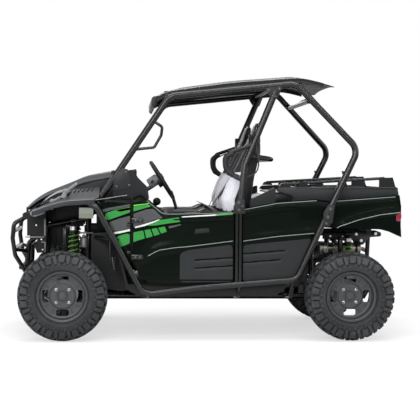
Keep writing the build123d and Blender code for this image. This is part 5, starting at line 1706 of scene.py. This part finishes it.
def back_ring(z, grow, cut):
    """One level of the backrest: squared off, hollow between its bolsters, flat behind the cut."""
    front, rear, half = between(z, BACK_FRONT), between(z, BACK_REAR), between(z, BACK_HALF)
    deep, middle = (front - rear) / 2, (front + rear) / 2
    hollow = 0.036 * ramp(z, 1.5, 1.4) * ramp(z, 0.86, 0.95)
    ring = []
    for number in range(RING_POINTS):
        turn = 2 * pi * number / RING_POINTS
        y = (half + grow) * power(cos(turn), 0.42)
        x = middle + (deep + grow) * power(sin(turn), 0.5)
        if sin(turn) > 0:
            x -= hollow * (1 - ramp(abs(y), 0.09, 0.17))
        ring.append((max(x, front - cut), y, z))
    return ring


def backrest(low, high, grow, cut=1.0):
    """A stretch of the backrest between two heights, with its ends rounded in."""
    rings = []
    for inset, shift in ((0.03, 0.0), (0.012, 0.007), (0.0, 0.02)):
        rings.append(back_ring(low + shift, grow - inset, cut))
    steps = int((high - low - 0.04) / 0.02)
    for step in range(1, steps):
        rings.append(back_ring(low + 0.02 + (high - low - 0.04) * step / steps, grow, cut))
    for inset, shift in ((0.0, 0.02), (0.012, 0.007), (0.03, 0.0)):
        rings.append(back_ring(high - shift, grow - inset, cut))
    return lofted(rings)


def cushion_ring(x, grow, half, low):
    """One slice across a cushion, raised at its side bolsters."""
    top = between(x, CUSHION_TOP)
    ring = []
    for number in range(RING_POINTS):
        turn = 2 * pi * number / RING_POINTS
        y = (half + grow) * power(cos(turn), 0.4)
        z = (top + low) / 2 + ((top - low) / 2 + grow) * power(sin(turn), 0.45)
        if sin(turn) > 0:
            z -= 0.022 * (1 - ramp(abs(y), 0.1, 0.18))
        ring.append((x, y, z))
    return ring


def cushion(behind, ahead, grow, half, low):
    """A cushion from back to front; its sides pull in a little halfway along."""
    rings = []
    steps = 22
    for step in range(steps + 1):
        t = step / steps
        edge = min(t, 1 - t)
        inset = 0.03 * (1 - min(1.0, edge / 0.07)) ** 2
        waist = 0.006 * sin(pi * t)
        rings.append(cushion_ring(behind + (ahead - behind) * t, grow - inset, half - waist, low))
    return lofted(rings)


def puffed(form, pinned):
    """The form remeshed, then blown up as cloth from its pinned places; each move is capped."""
    mesh = bpy.data.meshes.new("pad")
    form.to_mesh(mesh)
    form.free()
    item = bpy.data.objects.new("pad", mesh)
    bpy.context.collection.objects.link(item)
    remesh = item.modifiers.new("remesh", "REMESH")
    remesh.mode, remesh.voxel_size = "VOXEL", PAD_VOXEL
    scene = bpy.context.scene
    graph = bpy.context.evaluated_depsgraph_get()
    dense = bpy.data.meshes.new_from_object(item.evaluated_get(graph))
    item.modifiers.clear()
    item.data = dense
    start = [vert.co.copy() for vert in dense.vertices]
    group = item.vertex_groups.new(name="held")
    for vert in dense.vertices:
        if pinned(vert.co):
            group.add([vert.index], 1.0, "REPLACE")
    cloth = item.modifiers.new("cloth", "CLOTH")
    settings = cloth.settings
    settings.quality, settings.mass = 4, 0.3
    settings.tension_stiffness = settings.compression_stiffness = 12
    settings.shear_stiffness, settings.bending_stiffness = 4, 0.4
    settings.use_pressure, settings.uniform_pressure_force = True, PAD_PRESSURE
    settings.effector_weights.gravity = 0
    settings.vertex_group_mass = "held"
    cloth.collision_settings.use_self_collision = False
    cloth.point_cache.frame_start, cloth.point_cache.frame_end = 1, PAD_FRAMES
    for number in range(1, PAD_FRAMES + 1):
        scene.frame_set(number)
    graph = bpy.context.evaluated_depsgraph_get()
    blown = bpy.data.meshes.new_from_object(item.evaluated_get(graph))
    item.modifiers.clear()
    item.data = blown
    for vert, before in zip(blown.vertices, start):
        move = vert.co - before
        if move.length > PAD_CAP:
            vert.co = before + move.normalized() * PAD_CAP
    scene.frame_set(1)
    result = bmesh.new()
    result.from_mesh(item.data)
    bpy.data.objects.remove(item)
    for _ in range(2):
        bmesh.ops.smooth_vert(result, verts=result.verts, factor=0.5, use_axis_x=True,
                              use_axis_y=True, use_axis_z=True)
    return result


def stitched(form, depth):
    """Sewn channels: each point goes in along its normal by depth(point, normal)."""
    form.normal_update()
    moves = [(vert, vert.normal * depth(vert.co, vert.normal)) for vert in form.verts]
    for vert, move in moves:
        vert.co -= move
    return form


def seam(distance, depth=0.006, half=SEAM_HALF):
    """A groove's depth at a distance from its line."""
    return depth * max(0.0, 1 - abs(distance) / half) ** 2


def cover_seams(at, normal):
    """The light cover's channels: up its middle, along the bolsters, and two round its side."""
    front = between(at.z, BACK_FRONT)
    if abs(normal.y) > 0.6:
        return seam(at.x - front + 0.045, 0.005) + seam(at.x - front + 0.082, 0.003, 0.005)
    lines = (0.0, 0.048, 0.096, 0.168)
    return max(seam(abs(at.y) - line, 0.007) for line in lines) if normal.x > 0.1 else 0.0


def back_seams(at, normal):
    """The dark backrest's seams: round the headrest, across the shoulders, round the sides."""
    deep = seam(at.z - 1.5, 0.006) + seam(at.z - 1.34, 0.005)
    if normal.x > 0.1 and at.z > 1.3:
        deep = max(deep, seam(abs(at.y) - 0.12 + (at.z - 1.34) * 0.2, 0.006))
    if normal.x < -0.4:
        deep = max(deep, seam(abs(at.y) - 0.15, 0.004), seam(at.z - 1.2, 0.004))
    if abs(normal.y) > 0.6:
        deep = max(deep, seam(at.x - between(at.z, BACK_REAR) - 0.045, 0.004))
    return deep


def pad_seams(at, normal):
    """The cushion's piping line round its side and its bolster seams."""
    if normal.z > 0.3:
        return max(seam(abs(at.y) - 0.165, 0.006), seam(at.x - 0.3, 0.005),
                   seam(at.x + 0.03, 0.004))
    return seam(at.z - 0.925, 0.005)


def centre_seams(at, normal):
    """The cushion's middle: channels running back to front."""
    return max(seam(abs(at.y) - line, 0.006) for line in (0.0, 0.05,
                                                          0.1)) if normal.z > 0.2 else 0.0


def strap(points, across):
    """A flat strap along a smoothed path; across is the way its width lies."""
    middle = Vector(across).normalized()
    path = [Vector(point) for point in points]
    fine = []
    for a, b in zip(path, path[1:]):
        fine += [a.lerp(b, step / 12) for step in range(12)]
    fine.append(path[-1])
    smooth = [fine[0]] + [sum(fine[max(0, i - 8):i + 9], Vector()) / len(fine[max(0, i - 8):i + 9])
                          for i in range(1, len(fine) - 1)] + [fine[-1]]
    rows = []
    for number, spot in enumerate(smooth):
        way = (smooth[min(number + 1, len(smooth) - 1)] - smooth[max(number - 1, 0)]).normalized()
        side = (middle - way * middle.dot(way)).normalized()
        up = way.cross(side)
        corners = ((-1, -1), (1, -1), (1, 1), (-1, 1))
        rows.append([spot + side * a * WEB_WIDE / 2 + up * b * WEB_THICK / 2 for a, b in corners])
    return lofted(rows)


def build_belt(name, side):
    """One seat's belt with its tongue, buckle and reel."""
    y = side * SEAT_Y
    hip = y - side * 0.235
    belt = [(-0.36, side * 0.55, 1.52), (-0.345, side * 0.5, 1.535),
            (-0.312, y + side * 0.13, 1.47), (-0.262, y + side * 0.06, 1.34),
            (-0.192, y - side * 0.03, 1.2), (-0.122, y - side * 0.13, 1.08), (-0.07, hip, 0.985)]
    lap = [(-0.06, hip, 0.985), (0.0, y - side * 0.12, 1.022), (0.0, y + side * 0.12, 1.022),
           (-0.09, y + side * 0.24, 0.98), (-0.13, y + side * 0.262, 0.85)]
    webs = [strap(belt, (0.1, side, -0.25)), strap(lap, (1, 0, 0.35))]
    finish_piece(joined(webs), f"{name}_belt", "chassis", "belt", weld=False)
    tongue = brick((-0.085, -0.03), (hip - 0.004, hip + 0.004), (0.955, 1.0), 0.002)
    finish_piece(tongue, f"{name}_belt_tongue", "chassis", "bolt")
    buckle = joined([brick((-0.1, -0.065), (hip - 0.012, hip + 0.012), (0.905, 0.965), 0.004),
                     pipe([(-0.11, hip, 0.845), (-0.1, hip, 0.88),
                           (-0.085, hip, 0.91)], 0.008, 4, 10)])
    finish_piece(buckle, f"{name}_buckle", "chassis", "black", weld=False)
    button = brick((-0.093, -0.072), (hip - 0.009, hip + 0.009), (0.963, 0.968), 0.001)
    # the button's finish glows faintly: painted light on a part that is no lamp
    finish_piece(button, f"{name}_buckle_button", "chassis", "orange")
    reel = joined([brick((-0.4, -0.325), tuple(sorted((side * 0.53, side * 0.574))), (1.485, 1.56),
                         0.006),
                   cone((-0.362, side * 0.526, 1.522), (0, side, 0), 0.034, 0.034, 0.05, 28),
                   brick((-0.37, -0.32), tuple(sorted((side * 0.535, side * 0.57))), (1.41, 1.49),
                         0.005)])
    finish_piece(reel, f"{name}_belt_reel", "chassis", "black", bevel=0.001, weld=False)


def build_seat(name, side):
    """One seat: dark back and cushion with light sewn covers, and its slide bar."""
    shift = Matrix.Translation((0, side * SEAT_Y, 0))
    shapes = (
        # piece, form, pinned, seams, finish, what it replaces
        ("back", backrest(0.848, 1.656, -0.012),
         lambda at: at.z < 0.87 or at.x < between(at.z, BACK_REAR) + 0.02, back_seams, "vinyl",
         f"{name}_seat_back"),
        ("cover", backrest(0.955, 1.29, -0.007, 0.11),
         lambda at: at.x < between(at.z, BACK_FRONT) - 0.09, cover_seams, "cloth", None),
        ("cushion", cushion(-0.1, 0.352, -0.01, 0.246, 0.851), lambda at: at.z < 0.856, pad_seams,
         "vinyl", f"{name}_seat_cushion"),
        ("centre", cushion(-0.045, 0.318, -0.006, 0.152, 0.9), lambda at: at.z < 0.93, centre_seams,
         "cloth", None),
    )
    for piece, form, pinned, seams, finish, stands_for in shapes:
        soft = stitched(puffed(form, pinned), seams)
        soft.transform(shift)
        item = finish_piece(soft, f"{name}_{piece}", "chassis", finish, angle=70,
                            replaces=(stands_for,) if stands_for else (), weld=False)
    build_belt(name, side)
    y = side * SEAT_Y
    bar = pipe([(0.2, y - 0.09, 0.848), (0.372, y - 0.09, 0.85), (0.378, y, 0.852),
                (0.372, y + 0.09, 0.85), (0.2, y + 0.09, 0.848)], 0.005, 5, 8)
    finish_piece(bar, f"{name}_seat_bar", "chassis", "frame")


def build_guards():
    """Mesh infill in each shoulder guard, with the hem round it and the foam sleeve on its tube."""
    for side in SIDES:
        label = SIDE_NAME[side]
        outline = [(-0.375, 1.472), (-0.2, 1.412), (-0.158, 1.37), (-0.17, 1.28), (-0.3, 1.222),
                   (-0.42, 1.3)]
        cords = []
        for number in range(18):
            along = -0.42 + number * 0.0155
            hits_low = 1.222 + max(0.0, (-0.3 - along)) * 0.65 + max(0.0, along + 0.3) * 0.446
            hits_high = 1.472 - max(0.0, along + 0.375) * 0.343 - max(0.0, -0.375 - along) * 3.0
            if hits_high - hits_low > 0.02:
                cords.append(pipe([(along, side * 0.6515, hits_low),
                                   (along, side * 0.6535, hits_high)], 0.0014, 1, 4, order=2))
        for number in range(15):
            z = 1.24 + number * 0.0155
            start = -0.42 + max(0.0, z - 1.3) * 0.27 if z > 1.3 else -0.42 + (1.3 - z) * 1.5
            end = -0.165 if z < 1.37 else -0.158 - (z - 1.37) * 2.1
            cords.append(pipe([(start, side * 0.6525, z), (end, side * 0.6525, z)], 0.0014, 1, 4,
                              order=2))
        finish_piece(joined(cords), f"guard_net_{label}", "chassis", "net", weld=False)
        hem = pipe([(x, side * 0.652, z) for x, z in outline + outline[:1]], 0.006, 5, 8)
        finish_piece(hem, f"guard_hem_{label}", "chassis", "belt")
        sleeve = pipe([(-0.2, side * 0.651, 1.422), (-0.145, side * 0.6515, 1.392),
                       (-0.138, side * 0.652, 1.36), (-0.148, side * 0.6545, 1.28),
                       (-0.2, side * 0.659, 1.252)], 0.0215, 8, 20)
        finish_piece(sleeve, f"guard_sleeve_{label}", "chassis", "foam")


for seat_name, seat_side in (("driver", 1), ("passenger", -1)):
    build_seat(seat_name, seat_side)
build_guards()


# --------------------------------------------------------------- dash and controls
def build_dash():
    """Column shroud and stalk, gauge pod with its screen, the wheel's cap, and the pedals."""
    lean = Vector((0.8443, 0, -0.5358))
    hub = Vector((0.347, SEAT_Y, 1.228))
    shroud = joined([turned([(0.02, 0.012), (0.038, 0.016), (0.042, 0.026), (0.042, 0.07),
                             (0.036, 0.1), (0.02, 0.102)], lean, tuple(hub), 32),
                     brick((0.385, 0.415), (SEAT_Y - 0.055, SEAT_Y + 0.055), (1.19, 1.205), 0.004)])
    finish_piece(shroud, "column_shroud", "chassis", "grey", bevel=0.001, weld=False)
    stalk = pipe([(0.41, SEAT_Y + 0.04, 1.185), (0.405, SEAT_Y + 0.09, 1.2),
                  (0.4, SEAT_Y + 0.12, 1.205)], 0.006, 5, 10)
    finish_piece(stalk, "column_stalk", "chassis", "black")
    pod = lofted([[(x, SEAT_Y + power(cos(2 * pi * k / 36), 0.5) * wide,
                    1.256 + (0.55 - x) * 0.1 + power(sin(2 * pi * k / 36), 0.5) * tall)
                   for k in range(36)]
                  for x, wide, tall in ((0.528, 0.075, 0.03), (0.535, 0.082, 0.034),
                                        (0.6, 0.078, 0.027), (0.64, 0.06, 0.016))])
    finish_piece(pod, "gauge_pod", "chassis", "black", bevel=0.001)
    screen = brick((0.5255, 0.5295), (SEAT_Y - 0.05, SEAT_Y + 0.05), (1.24, 1.278), 0.001)
    finish_piece(screen, "gauge_screen", "chassis", "gloss")
    wheel_trim = []
    for turn in (90, 210, 330):
        spin = Matrix.Rotation(radians(turn), 3, lean)
        reach = spin @ Vector((0.5358, 0, 0.8443))
        for share in (0.3, 0.45):
            wheel_trim.append(cone(tuple(hub - lean * 0.012 + reach * 0.16 * share), tuple(-lean),
                                   0.007, 0.005, 0.006, 16))
    cap = turned([(0, -0.03), (0.022, -0.028), (0.032, -0.022), (0.036, -0.012), (0.036, 0.0),
                  (0, 0.0)], lean, tuple(hub), 32)
    finish_piece(joined(wheel_trim + [cap]), "wheel_cap", "steering_wheel", "black", weld=False)
    pedals = []
    for y, z, wide in ((0.29, 0.6, 0.05), (0.42, 0.56, 0.035)):
        pedals.append(slab([(0.7, z - 0.05), (0.715, z + 0.05), (0.708, z + 0.052),
                            (0.692, z - 0.048)], y - wide, y + wide, 0.001))
        pedals.append(pipe([(0.72, y, z), (0.735, y, z + 0.12), (0.72, y, z + 0.24)], 0.007, 4, 8))
        for rib in range(5):
            pedals.append(brick((0.688, 0.696), (y - wide + 0.006, y + wide - 0.006),
                                (z - 0.04 + rib * 0.02, z - 0.034 + rib * 0.02), 0.0008))
    finish_piece(joined(pedals), "pedals", "chassis", "bolt", weld=False)


build_dash()
